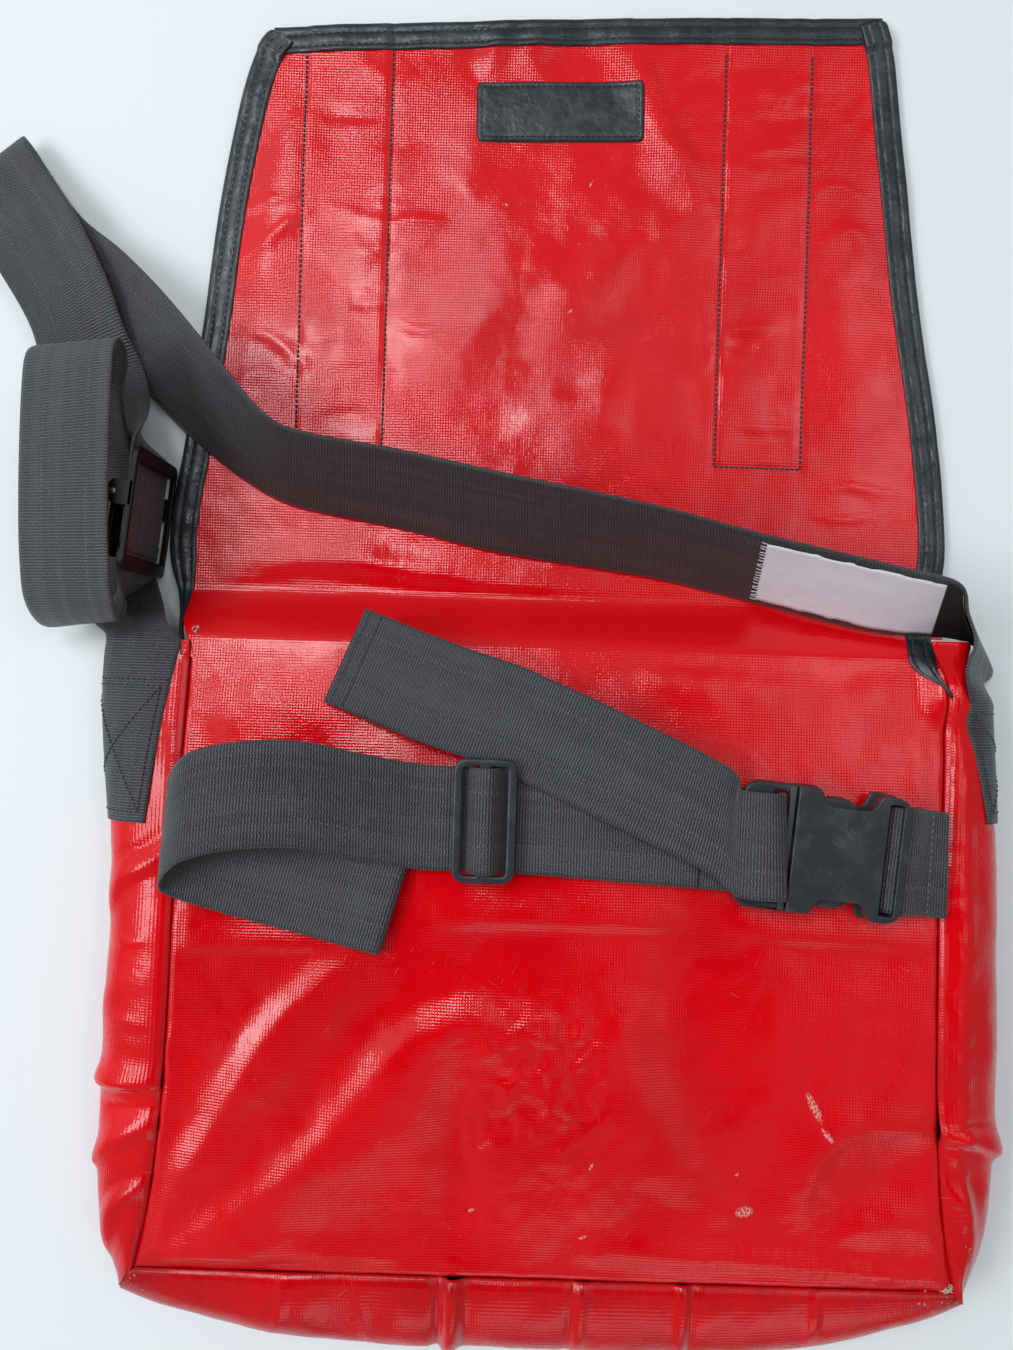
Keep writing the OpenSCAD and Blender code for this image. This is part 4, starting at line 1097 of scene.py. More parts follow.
def stitch_mesh(name, runs, material, radius=0.32, length=2.6, gap=0.9):
    """Separate thread stitches along lines of (places, normals)."""
    sides, points, faces = 6, [], []
    ring = np.linspace(0, 2 * np.pi, sides, endpoint=False)
    for line, normal in runs:
        line, normal = np.asarray(line), np.asarray(normal)
        run = run_along(line)
        count = max(1, int(run[-1] / (length + gap)))
        for k in range(count):
            mid = (k + 0.5) * run[-1] / count
            ends = at_lengths([mid - length / 2, mid + length / 2], run, line)
            up = unit(at_lengths([mid], run, normal)[0])
            across = np.cross(unit(ends[1] - ends[0]), up)
            start = len(points)
            for share, size, sink in ((0, 0.45, 0.5), (0.2, 0.95, 0), (0.8, 0.95, 0), (1, 0.45, 0.5)):
                centre = mix(ends[0], ends[1], share) + up * radius * (0.35 - sink)
                for t in ring:
                    points.append(centre + radius * size * (np.cos(t) * across + np.sin(t) * up))
            faces += ring_faces(4, sides, start).tolist()
            faces += [list(range(start, start + sides))[::-1],
                      list(range(start + 3 * sides, start + 4 * sides))]
    return make_mesh(name, np.array(points), faces, None, material)


def on_sheet(line, lift=0.0):
    """A line of (x, y) laid on the sheet's outer face, with its normals."""
    line = np.asarray(line, float)
    x, y = line[:, 0], line[:, 1]
    z, e = sheet_z(x, y), 0.4
    slope_x = (sheet_z(x + e, y) - sheet_z(x - e, y)) / (2 * e)
    slope_y = (sheet_z(x, y + e) - sheet_z(x, y - e)) / (2 * e)
    return np.column_stack([x, y, z + lift]), unit(np.column_stack([-slope_x, -slope_y, np.ones_like(x)]))


def on_sheet_at(line):
    """A line of places above the sheet, with the sheet's normals there."""
    return line, on_sheet(line[:, :2])[1]


def straight(a, b, step=2.0):
    n = max(2, int(math.dist(a, b) / step))
    return np.column_stack([np.linspace(a[k], b[k], n) for k in range(len(a))])


def hook_strip_stitches():
    """The stitched outlines of the hook strips, which run under the binding at the free edge."""
    runs = []
    for x in GRIP_X:
        low, high = HOOK_Y[0] + STITCH_IN, HOOK_Y[1] + 6
        left, right = x - GRIP_HALF + STITCH_IN, x + GRIP_HALF - STITCH_IN
        for a, b in (((left, high), (left, low)), ((left, low), (right, low)),
                     ((right, low), (right, high))):
            runs.append(on_sheet(straight(a, b), 0.05))
    return runs


# ---- webbing ----

WEB_COLS = 25
WEB_STEP = 2.0
SEWN_GAP = 0.35


def route_rows(route):
    """Rows across the webbing for each pair of edge places of a route."""
    route = np.array(route, float)
    middle = route.mean(axis=1)
    across = unit(route[:, 1] - route[:, 0]) * WEB_W
    share = np.linspace(-0.5, 0.5, WEB_COLS)
    return middle[:, None, :] + across[:, None, :] * share[None, :, None]


def even_rows(rows):
    """The same surface with its rows WEB_STEP apart, and the length along it at each row."""
    n, cols = rows.shape[:2]
    fine = through(rows.reshape(n, -1), n * 12).reshape(n * 12, cols, 3)
    middle = fine[:, cols // 2]
    run = run_along(middle)
    at = np.linspace(0, run[-1], int(run[-1] / WEB_STEP) + 1)
    return at_lengths(at, run, fine.reshape(len(fine), -1)).reshape(len(at), cols, 3), at


def make_strap(name, node, rows, material, body, length, under, held="laid"):
    """A strap: its object, and its middle surface as places, normals and lengths along it."""
    grid, along = even_rows(rows)
    normal = normals_of(grid)
    u, v = np.meshgrid(np.linspace(0, WEB_W, WEB_COLS), along)
    selvedge = 0.55 + 0.45 * ease(np.minimum(u, WEB_W - u) / 2.0)
    half = (WEB_T / 2 * selvedge)[..., None]
    obj = closed_band(name, grid + normal * half, grid - normal * half, np.dstack([u, v]), material)
    attach(obj, "webbing", body, node)
    return obj, grid, normal, along


# ---- moulded pieces ----


def rounded(corners, steps=5):
    """The closed outline through corners (x, y, radius), each rounded."""
    out = []
    for k, corner in enumerate(corners):
        p = np.array(corner[:2], float)
        before, after = np.array(corners[k - 1][:2]) - p, np.array(corners[(k + 1) % len(corners)][:2]) - p
        reach = min(corner[2], 0.48 * np.linalg.norm(before), 0.48 * np.linalg.norm(after))
        if reach <= 0:
            out.append(p)
            continue
        a, b = p + unit(before) * reach, p + unit(after) * reach
        out += [(1 - f) ** 2 * a + 2 * f * (1 - f) * p + f * f * b for f in np.linspace(0, 1, steps + 1)]
    return np.array(out)


def mirrored(half):
    """A whole outline from its half at y > 0, with its first and last points near the middle line."""
    return list(half) + [(c[0], -c[1], c[2]) for c in reversed(half)]


def box_outline(x0, x1, y0, y1, r):
    """The outline of a box with rounded corners."""
    return rounded([(x0, y0, r), (x1, y0, r), (x1, y1, r), (x0, y1, r)])


def wound(ring, counterclockwise):
    """The ring, reversed where it runs the other way round."""
    x, y = ring[:, 0], ring[:, 1]
    area = np.sum(x * np.roll(y, -1) - np.roll(x, -1) * y)
    return ring if (area > 0) == counterclockwise else ring[::-1]


def inset(ring, by):
    """The outline moved to the left of its direction, which is into the plate."""
    d = unit(np.roll(ring, -1, axis=0) - ring)
    both = unit(d + np.roll(d, 1, axis=0))
    left = np.column_stack([-both[:, 1], both[:, 0]])
    sharp = np.clip(np.sum(left * np.column_stack([-d[:, 1], d[:, 0]]), axis=1), 0.5, 1)
    return ring + left * (by / sharp)[:, None]


def plate(outline, z0, z1, bevel, holes=()):
    """Points and faces of a flat plate with rounded edges."""
    rings = [wound(outline, True)] + [wound(hole, False) for hole in holes]
    arc = np.linspace(0, np.pi / 2, 4)
    low = [(bevel * (1 - math.sin(a)), z0 + bevel * (1 - math.cos(a))) for a in arc]
    levels = low + [(by, z0 + z1 - z) for by, z in reversed(low)]
    points, faces, loops = [], [], []
    for ring in rings:
        n, start = len(ring), len(points)
        for by, z in levels:
            points += [(x, y, z) for x, y in inset(ring, by)]
        faces += ring_faces(len(levels), n, start).tolist()
        loops.append((start, n))
    for level, up in ((0, False), (len(levels) - 1, True)):
        index = [[start + level * n + i for i in range(n)] for start, n in loops]
        flat = sum(index, [])
        rows = [[Vector(points[i]) for i in loop] for loop in index]
        for a, b, c in tessellate_polygon(rows):
            p, q, r = (np.array(points[flat[i]][:2]) for i in (a, b, c))
            above = (q[0] - p[0]) * (r[1] - p[1]) - (q[1] - p[1]) * (r[0] - p[0]) > 0
            faces.append([flat[a], flat[b], flat[c]] if above == up else [flat[c], flat[b], flat[a]])
    return np.array(points), faces


def tube(path, radius, sides=10):
    """Points and faces of a round bar along a path, with closed, rounded ends."""
    path = np.asarray(path, float)
    radius = np.broadcast_to(np.asarray(radius, float), len(path))
    along = unit(np.gradient(path, axis=0))
    side = unit(np.cross(along, [0.31, 0.17, 0.93]))
    up = np.cross(side, along)
    turn = np.linspace(0, 2 * np.pi, sides, endpoint=False)
    ring = np.cos(turn)[None, :, None] * side[:, None] + np.sin(turn)[None, :, None] * up[:, None]
    points = (path[:, None] + ring * radius[:, None, None]).reshape(-1, 3)
    faces = ring_faces(len(path), sides)[:, [1, 0, 3, 2]].tolist()
    last = (len(path) - 1) * sides
    return points, faces + [list(range(sides)), list(range(last, last + sides))[::-1]]


def rod(a, b, radius, chamfer=0.3):
    """A straight round bar with chamfered ends."""
    a, b = np.asarray(a, float), np.asarray(b, float)
    step = unit(b - a) * chamfer
    return tube([a, a + step, b - step, b], [radius - chamfer, radius, radius, radius - chamfer], 24)


def standing(part, y0):
    """A plate drawn in X and Z, whose thickness runs along Y from y0."""
    points, faces = part
    return np.column_stack([points[:, 0], y0 + points[:, 2], points[:, 1]]), [f[::-1] for f in faces]


def joined(*parts):
    points, faces = [], []
    for p, f in parts:
        faces += [[i + len(points) for i in face] for face in f]
        points += list(p)
    return np.array(points), faces


def turned_about(points, turn, pivot):
    """points turned about the Z axis through pivot."""
    c, s = math.cos(turn), math.sin(turn)
    d = np.asarray(points, float) - pivot
    return np.column_stack([d[:, 0] * c - d[:, 1] * s, d[:, 0] * s + d[:, 1] * c, d[:, 2]]) + pivot


# ---- side release buckle, with X along its middle line ----

BUCKLE_MIDDLE = (120.0, -84.4, 46.5)
BUCKLE_TURN = math.radians(-5)


def at_buckle(points):
    p = np.asarray(points, float) + (0, BUCKLE_MIDDLE[1], BUCKLE_MIDDLE[2])
    return turned_about(p, BUCKLE_TURN, BUCKLE_MIDDLE)


def window_side(x0, x1, out, deep, lean):
    """The edge of the socket's face round one side window, from its mouth's side to its far end."""
    return [(x0, out, 1.4), (x0 + 0.5 * lean, mix(out, deep, 0.55), 1.0), (x0 + lean + 1, deep, 2.4),
            (x1 - lean - 1, deep, 2.4), (x1 - 0.5 * lean, mix(out, deep, 0.55), 1.0), (x1, out + 0.4, 2.0)]


def socket_part():
    """Two faces with side windows, and the walls, heel and ribs between them."""
    top_far = [(149.5, 28.6, 3.0), (154.6, 26.2, 3.0), (156.4, 21.8, 2.0)]
    low_far = [(149.8, 28.9, 3.0), (155.4, 26.6, 3.0), (157.3, 21.8, 2.0)]
    top_half = [(104.6, 28.2, 1.0)] + window_side(115.0, 142.0, 27.9, 20.9, 3.4) + top_far
    low_half = [(104.6, 28.9, 1.0)] + window_side(116.5, 140.2, 28.8, 21.6, 2.4) + low_far
    slot = box_outline(146.0, 152.4, -25.0, 25.0, 1.2)
    top = plate(rounded(mirrored(top_half)), 4.4, 7.0, 0.7, [slot])
    low = plate(rounded(mirrored(low_half)), -7.0, -4.4, 0.7, [slot])
    parts = [top, low]
    for side in (-1, 1):
        mouth = [(104.8, side * 26.3, 0.3), (115.6, side * 26.3, 0.3), (115.0, side * 28.4, 0.8),
                 (104.8, side * 28.6, 0.5)]
        parts.append(plate(rounded(mouth), -5.0, 5.0, 0.3))
    heel = [(139.6, 20.4, 1.5), (141.2, 27.8, 2.5), (149.5, 28.4, 3.0), (154.9, 26.0, 3.0),
            (156.7, 21.8, 2.0)]
    parts.append(plate(rounded(mirrored(heel)), -5.0, 5.0, 0.3, [slot]))
    # two ribs inside the cavity guide the tongue
    for side in (-1, 1):
        rib = box_outline(112.0, 137.0, side * 8.2 - 0.9, side * 8.2 + 0.9, 0.4)
        parts.append(plate(rib, -4.6, 4.6, 0.1))
    return joined(*parts)


def plug_part():
    """The frame that carries the strap, its head and the tongue."""
    frame_half = [(104.0, 28.9, 0.4), (86.5, 28.9, 3.5), (81.0, 25.8, 3.0), (80.6, 20.0, 1.0)]
    slot = box_outline(94.8, 101.2, -25.0, 25.0, 1.0)
    loop = plate(rounded(mirrored(frame_half)), -2.3, 3.1, 1.3, [slot])
    head = plate(box_outline(101.3, 104.4, -28.2, 28.2, 0.6), -4.0, 4.2, 0.5)
    tongue_half = [(103.5, 6.0, 0.2), (128.0, 6.0, 4.0), (134.5, 3.2, 2.5)]
    tongue = plate(rounded(mirrored(tongue_half)), -2.5, 2.5, 0.8)
    return joined(loop, head, tongue)


def arm_part(side):
    """One spring arm, with ribs under the fingertip."""
    outline = [(105.1, 17.6, 0.4), (105.1, 23.0, 0.4), (113.0, 23.6, 3.0), (119.5, 24.6, 3.0),
               (125.5, 25.1, 3.0), (129.5, 24.2, 3.0), (133.4, 21.6, 2.0), (134.3, 18.0, 2.0),
               (132.6, 15.0, 1.5), (128.5, 15.6, 1.5), (125.0, 18.4, 3.0), (115.0, 18.9, 4.0)]
    body = plate(rounded([(x, side * y, r) for x, y, r in outline]), -3.0, 3.0, 0.9)
    # the ribs under the fingertip
    ribs = [rod((x, side * 24.7, -2.2), (x, side * 24.7, 2.2), 0.5, 0.2) for x in np.linspace(120, 126, 4)]
    return joined(body, *ribs)


# ---- tri-glide and strap adjuster ----

GLIDE_MIDDLE = (-34.0, -75.3, 46.9)


def glide_part():
    """A flat frame with a slot on each side of its middle bar."""
    outer = box_outline(-14.5, 14.5, -28.3, 28.3, 7.0)
    slots = [box_outline(side * 6.25 - 3.9, side * 6.25 + 3.9, -24.6, 24.6, 2.0) for side in (-1, 1)]
    return plate(outer, 0.0, 3.4, 1.15, slots)


ADJUSTER_PLACE = (-198.0, 61.0, 29.4)
ADJUSTER_TURN = math.radians(84)
PIN_X, PIN_Z = 6.0, 6.5


def at_adjuster(points):
    """From the adjuster lying flat, with its length along X, to where it stands on its side."""
    p = np.asarray(points, float)
    upright = np.column_stack([p[:, 0], p[:, 2], -p[:, 1]])
    return turned_about(upright, ADJUSTER_TURN, (0, 0, 0)) + ADJUSTER_PLACE


def circle(x, y, r, steps=28):
    turn = np.linspace(0, 2 * np.pi, steps, endpoint=False)
    return np.column_stack([x + r * np.cos(turn), y + r * np.sin(turn)])


def adjuster_part():
    """A flat frame with two cheeks that carry the pin."""
    window = box_outline(-21, 21, -24.8, 24.8, 2.0)
    frame_plate = plate(box_outline(-28, 28, -27, 27, 5.0), -3.0, 0.0, 0.9, [window])
    cheek = rounded([(0.2, -2.8, 0.5), (11.8, -2.8, 0.5), (11.8, 7.0, 4.0), (8.0, 9.5, 2.0),
                     (4.0, 9.5, 2.0), (0.2, 7.0, 4.0)])
    cheeks = [standing(plate(cheek, 0, 2, 0.4, [circle(PIN_X, PIN_Z, 1.5)]), y) for y in (-27.0, 25.0)]
    return joined(frame_plate, *cheeks)


def lever_part():
    """A cam round the pin and a thumb plate with a lip and four grip ribs."""
    top = PIN_Z + 4.0
    profile = [(PIN_X + 4, PIN_Z - 1, 2.5), (PIN_X + 4, top, 3.5), (PIN_X - 6, top, 4.0),
               (PIN_X - 26, top + 0.2, 2.0), (PIN_X - 28.6, top - 1.0, 1.2), (PIN_X - 27.6, top - 2.6, 1.0),
               (PIN_X - 8, top - 2.5, 4.0), (PIN_X - 4, PIN_Z + 0.5, 2.0), (PIN_X - 3, PIN_Z - 3.2, 2.5),
               (PIN_X + 2.0, PIN_Z - 4.0, 2.5)]
    body = standing(plate(rounded(profile), 0, 36, 0.7, [circle(PIN_X, PIN_Z, 1.62)]), -18.0)
    ribs = [rod((x, -15, top), (x, 15, top), 0.55, 0.3) for x in np.linspace(-19.0, -11.8, 4)]
    return joined(body, *ribs)


def make_hardware(plastic, black_and_shaded, steel):
    """The buckle, the tri-glide and the strap adjuster."""
    at_glide = lambda points: np.asarray(points) + GLIDE_MIDDLE
    pin = rod((PIN_X, -27, PIN_Z), (PIN_X, 27, PIN_Z), 1.48)
    for name, node, (points, faces), place, body, material in (
        ("socket_shell", "buckle_socket", socket_part(), at_buckle, "bag", plastic),
        ("plug_frame", "buckle_plug", plug_part(), at_buckle, "plug", plastic),
        ("plug_arm_upper", "buckle_arm_upper", arm_part(1), at_buckle, "arm_upper", plastic),
        ("plug_arm_lower", "buckle_arm_lower", arm_part(-1), at_buckle, "arm_lower", plastic),
        ("glide_frame", "tri_glide", glide_part(), at_glide, "glide", plastic),
        ("adjuster_body", "adjuster_frame", adjuster_part(), at_adjuster, "bag", black_and_shaded),
        ("adjuster_thumb_plate", "adjuster_lever", lever_part(), at_adjuster, "lever", black_and_shaded),
        ("adjuster_axle", "adjuster_pin", pin, at_adjuster, "bag", steel),
    ):
        obj = make_mesh(name, place(points), faces, None, material)
        obj.data.set_sharp_from_angle(angle=math.radians(50))
        obj.modifiers.new("face normals", "WEIGHTED_NORMAL").keep_sharp = True
        attach(obj, "pin_steel" if material is steel else "buckle_plastic", body, node)


# ---- webbing routes, as in the CAD source: rows of (edge, other edge) ----

SHOULDER_ROUTE = [
    ((186.6, 0, 38.5), (214, -3, 2.4)), ((188, 13, 43), (213, 6, 2.5)), ((182, 27, 47), (206, 12, 6)),
    ((174, 38, 57), (187, 16, 16)), ((151, 44, 54), (152, 18, 15)), ((95, 57, 43), (98, 31, 6)),
    ((38, 70, 41), (43, 43, 7)), ((-32, 83, 39), (-31, 53, 7)), ((-78, 91, 39), (-81, 64, 7)),
    ((-125, 98, 41), (-131, 73, 8)), ((-142, 106, 42), (-155, 84, 9)), ((-160, 124, 38), (-180, 103, 10)),
    ((-178, 147, 33), (-203, 122, 6)), ((-197, 169, 27), (-223, 138, 4)), ((-218, 189, 20), (-245, 155, 3)),
    ((-240, 208, 13), (-270, 171, 3)), ((-258, 230, 7), (-294, 199, 3)), ((-268, 244, 4), (-306, 215, 3)),
    ((-271, 248, 8), (-309, 219, 6)), ((-268, 244, 12), (-306, 215, 9)), ((-257, 229, 14), (-295, 200, 10)),
    ((-243, 211, 18), (-282, 183, 11)), ((-224, 178, 23), (-266, 157, 10)),
    ((-215, 153, 19), (-260, 138, 7)), ((-208, 136, 13), (-254, 126, 3)), ((-202, 118, 20), (-245, 112, 3)),
    ((-198, 105, 35), (-231, 101, 4)), ((-196, 95, 50), (-203, 94, 5)),
    ((-196.7, 89, 53.4), (-196.7, 89, 5.4)), ((-197.6, 78, 53.4), (-197.6, 78, 5.4)),
    ((-198.7, 65, 53.4), (-198.7, 65, 5.4)), ((-199.6, 56, 53.4), (-199.6, 56, 5.4)),
    ((-200.5, 47, 53.4), (-200.5, 47, 5.4)), ((-201.0, 42, 53.4), (-201.0, 42, 5.4)),
]

ANCHOR_ROUTE = [
    ((-189, 10, 25), (-229, 10, 5)), ((-194, 20, 13), (-241, 20, 3)), ((-200, 31, 5), (-248, 31, 2)),
    ((-206, 46, 3), (-254, 46, 2)), ((-208, 74, 6), (-255, 76, 2)), ((-209, 96, 24), (-252, 96, 4)),
    ((-208, 114, 37), (-250, 113, 14)), ((-204, 129, 42), (-249, 127, 24)),
    ((-204, 136, 50), (-249, 136, 34)), ((-205, 132, 57), (-250, 131, 43)),
    ((-204, 112, 61), (-250, 110, 47)), ((-204, 70, 62), (-249, 70, 48)), ((-204, 38, 59), (-249, 38, 45)),
    ((-206, 19, 48), (-250, 18, 35)), ((-208, 11, 36), (-248, 8, 18)), ((-205, 17, 36), (-238, 12, 9)),
    ((-203, 26, 46), (-219, 22, 7)), ((-202.8, 33, 53.4), (-202.8, 33, 5.4)),
    ((-201.6, 40.5, 53.4), (-201.6, 40.5, 5.4)), ((-199.8, 48, 53.4), (-199.8, 48, 5.4)),
]

WAIST_ROUTE = [
    ((-177, -66, 41), (-177, -113, 41.5)), ((-140, -70, 42), (-146, -117, 42)),
    ((-100, -81, 42), (-112, -128, 42)), ((-72, -91, 42), (-85, -137, 42)),
    ((-68, -92, 44), (-81, -138, 44)), ((-72, -91, 46), (-85, -137, 46)),
    ((-110, -81, 46.5), (-123, -128, 46.5)), ((-139, -74, 49), (-151, -121, 48)),
    ((-163, -67, 54), (-170, -114, 52)), ((-172, -61, 62), (-177, -109, 58)),
    ((-167, -52, 71), (-171, -99, 66)), ((-157, -45, 74), (-160, -92, 70)),
    ((-136, -41, 71), (-139, -88, 66)), ((-115, -41, 64), (-116, -88, 60)),
    ((-92, -46, 55), (-92, -93, 52)), ((-66, -50.5, 45.5), (-66, -98.5, 45.5)),
    ((-50, -51.3, 43.6), (-50, -99.3, 43.6)), ((-44, -51.3, 43.9), (-44, -99.3, 43.9)),
    ((-40, -51.3, 48), (-40, -99.3, 48)), ((-37.5, -51.3, 51.4), (-37.5, -99.3, 51.4)),
    ((-34, -51.3, 52.2), (-34, -99.3, 52.2)), ((-30.5, -51.3, 51.4), (-30.5, -99.3, 51.4)),
    ((-28, -51.3, 48), (-28, -99.3, 48)), ((-24, -51.3, 43.9), (-24, -99.3, 43.9)),
    ((-18, -51.7, 43.4), (-18, -99.7, 43.4)), ((10, -53, 43), (10, -101, 43)),
    ((40, -54.7, 42.4), (39, -102.7, 42.4)), ((67, -56.3, 42), (65, -104.2, 42)),
]

TAIL_ROUTE = [
    ((67.4, -56.3, 42), (65.4, -104.2, 42)), ((82.2, -57, 41.8), (78.1, -104.8, 41.8)),
    ((93.5, -58.1, 41.8), (89.5, -105.9, 41.8)), ((98.8, -58.4, 43.0), (94.9, -106.2, 43.0)),
    ((100.6, -58.5, 46.5), (97.0, -106.3, 46.5)), ((101.4, -58.5, 50.6), (100.6, -106.3, 51.6)),
    ((99.6, -58.4, 53.4), (101.8, -106.2, 54.8)), ((95.0, -58.1, 55.4), (96.6, -106.0, 56.6)),
    ((88.6, -57.8, 55.6), (88.4, -105.7, 56.6)), ((83.2, -57.4, 54.0), (82.2, -105.3, 54.6)),
    ((80.8, -56.9, 50.8), (79.4, -104.8, 51.0)), ((80.4, -52.0, 47.9), (73.5, -99.4, 47.9)),
    ((76.0, -47.8, 47.6), (65.5, -94.4, 47.6)), ((64, -41.5, 47.2), (50.5, -87.2, 47.2)),
    ((44, -32, 46.2), (27, -77, 46.8)), ((14, -19, 44.8), (-3, -63, 46)),
    ((-6, -11, 43.2), (-21, -55, 45.7)), ((-20, -5, 41.6), (-35, -49.5, 45)),
    ((-45, 3, 38), (-62, -42, 41.5)), ((-65, 10, 34.5), (-82, -35, 37)), ((-93, 20, 31), (-111, -24, 32.5)),
]

SHORT_ROUTE = [
    ((178, -66, 41.2), (178, -114, 41.5)), ((169, -64.8, 40.6), (167, -112.7, 40.8)),
    ((160.4, -63.8, 41.4), (156.3, -111.7, 41.4)), ((153.5, -63.2, 41.6), (149.3, -111.1, 41.6)),
    ((150.3, -63, 43.4), (146.1, -110.8, 43.4)), ((149.7, -62.9, 46), (145.5, -110.7, 46)),
    ((150.3, -63, 48.6), (146.1, -110.8, 48.6)), ((153.5, -63.2, 50.4), (149.3, -111.1, 50.4)),
    ((160.4, -63.8, 50.2), (156.3, -111.7, 50.2)), ((169, -64.8, 46), (167, -112.7, 46)),
    ((178, -66, 43.4), (178, -114, 43.6)),
]


# where the webbing's inner edge runs on each gusset: (y, share of the gusset's half ellipse)
SEWN_RIGHT = [(-72, 0.25), (-45, 0.165), (-25, 0.09), (-15, 0.105)]
SEWN_LEFT = [(-83, 0.13), (3, 0.03)]


def sewn_rows(side, edge):
    """Webbing sewn round a gusset, with its inner edge through (y, share) places."""
    share = np.linspace(0, 1, 300)
    rows = []
    for y in np.linspace(edge[0][0], edge[-1][0], 14):
        line = side_grid(side, np.full_like(share, -y / PANEL_H), share,
                         np.full_like(share, SEWN_GAP + WEB_T / 2))
        if side > 0:
            out, up = neck_move(-y / PANEL_H, share)
            line = line + np.column_stack([out, 0 * out, up])
        run = run_along(line)
        start = np.interp(y, *zip(*edge))
        at = np.interp(start, share, run) + np.linspace(0, WEB_W, WEB_COLS)
        rows.append(at_lengths(at, run, line))
    return np.array(rows)


def on_web(web, line, outward, lift=0.05):
    """A line of (across, along) laid on a strap's face, with its normals."""
    grid, normal, along = web[1:]
    line = np.asarray(line, float)
    col = np.clip(line[:, 0] / WEB_W * (WEB_COLS - 1), 0, WEB_COLS - 1.001)
    row = np.clip(np.interp(line[:, 1], along, np.arange(len(along))), 0, len(along) - 1.001)
    i, j = row.astype(int), col.astype(int)
    f, g = (row - i)[:, None], (col - j)[:, None]
    at = lambda a: mix(mix(a[i, j], a[i, j + 1], g), mix(a[i + 1, j], a[i + 1, j + 1], g), f)
    up = at(normal) * outward
    return at(grid) + up * (WEB_T / 2 + lift), up


def box_and_cross(web, u0, u1, v0, v1, outward):
    """The stitched box with a cross in it that holds a strap's end."""
    a, b, c, d = (u0, v0), (u1, v0), (u1, v1), (u0, v1)
    lines = ((a, b), (b, c), (c, d), (d, a), (a, c), (b, d))
    return [on_web(web, straight(*line), outward) for line in lines]


def make_straps(material, worn):
    """The five pieces of strap."""
    shoulder = np.concatenate([sewn_rows(1, SEWN_RIGHT), route_rows(SHOULDER_ROUTE)])
    anchor = np.concatenate([sewn_rows(-1, SEWN_LEFT), route_rows(ANCHOR_ROUTE)])
    short, tail, run = (route_rows(route) for route in (SHORT_ROUTE, TAIL_ROUTE, WAIST_ROUTE))
    straps = {
        "shoulder": ("shoulder_webbing", "shoulder_strap", shoulder, worn, "bag", 0.93,
                     "right_gusset_cloth"),
        "anchor": ("anchor_webbing", "anchor_strap", anchor, material, "bag", 0.47, "left_gusset_cloth"),
        "short": ("waist_webbing_short", "waist_strap_short", short, material, "bag", 0.06, "back_and_flap",
                  "folded"),
        "tail": ("waist_webbing_tail", "waist_strap_tail", tail, material, "plug", 0.26, "waist_webbing"),
        "run": ("waist_webbing", "waist_strap_run", run, material, "waist", 0.5, "back_and_flap", "folded"),
    }
    return {key: make_strap(*strap) for key, strap in straps.items()}


# ---- name patch and label ----

PATCH_MIDDLE = (-8.0, 271.0)
PATCH_W, PATCH_H = 83.0, 30.0
PATCH_TURN = math.radians(1.8)


def on_patch(px, py):
    """The place (x, y) of a place on the name patch."""
    c, s = math.cos(PATCH_TURN), math.sin(PATCH_TURN)
    return PATCH_MIDDLE[0] + px * c - py * s, PATCH_MIDDLE[1] + px * s + py * c


def make_patch(material):
    """The bare rubber name patch, with a groove for its row of stitches."""
    u, v = np.meshgrid(np.linspace(-0.5, 0.5, 84), np.linspace(-0.5, 0.5, 40))
    px, py = u * PATCH_W, v * PATCH_H
    corner = np.maximum(np.abs(px) - (PATCH_W / 2 - 2), 0) * np.maximum(np.abs(py) - (PATCH_H / 2 - 2), 0)
    shrink = 1 - 0.02 * (corner > 0)
    x, y = on_patch(px * shrink, py * shrink)
    edge = np.minimum(PATCH_W / 2 - np.abs(px), PATCH_H / 2 - np.abs(py))
    z = sheet_z(x, y)
    top = np.dstack([x, y, z + 1.2 * ease(edge / 0.9) - 0.25 * np.exp(-((edge - STITCH_IN) / 0.7) ** 2)])
    obj = closed_band("name_patch_bare", top, np.dstack([x, y, z - 0.2]), np.dstack([px, py]), material,
                      flip=True)
    attach(obj, "patch_rubber", "flap", "name_patch")


def patch_stitches():
    """The row round the name patch, on its top face."""
    x, y = PATCH_W / 2 - STITCH_IN, PATCH_H / 2 - STITCH_IN
    corners = [on_patch(*corner) for corner in ((-x, -y), (x, -y), (x, y), (-x, y))]
    return [on_sheet(straight(corners[k - 1], corners[k]), 1.0) for k in range(4)]


def strap_cover(name, slot, start, stop, low, high, margin, material, ragged, *nodes):
    """Cloth on the shoulder strap between two places of its route, from low to high above it: the sewn
    label, and a black sheet that is painted shade.
    It leaves margin columns of the strap bare on each side."""
    count = len(SHOULDER_ROUTE)
    at = np.linspace(start, stop, 90)
    part = hermite(at, range(count), route_rows(SHOULDER_ROUTE).reshape(count, -1))
    part = part.reshape(len(at), WEB_COLS, 3)
    normal = normals_of(part)
    part, normal = part[:, margin:-margin], normal[:, margin:-margin]
    run = run_along(part[:, WEB_COLS // 2 - 1])
    u, v = np.meshgrid(np.linspace(0, WEB_W, part.shape[1]), run)
    across = unit(np.gradient(part, axis=1))
    edge = np.sign(u - WEB_W / 2) * np.clip(np.abs(u / WEB_W - 0.5) * 10 - 4, 0, 1)
    part = part + across * (ragged * value_noise(v, u * 0, 3.0, 92) * edge)[..., None]
    lift = ragged * 0.4 * value_noise(u, v, 9.0, 93)[..., None]
    top, bottom = part - normal * (high + lift), part - normal * (low + lift)
    obj = closed_band(name, top, bottom, np.dstack([u, v]), material, flip=True)
    attach(obj, slot, "bag", *nodes)
    return obj, part, -normal


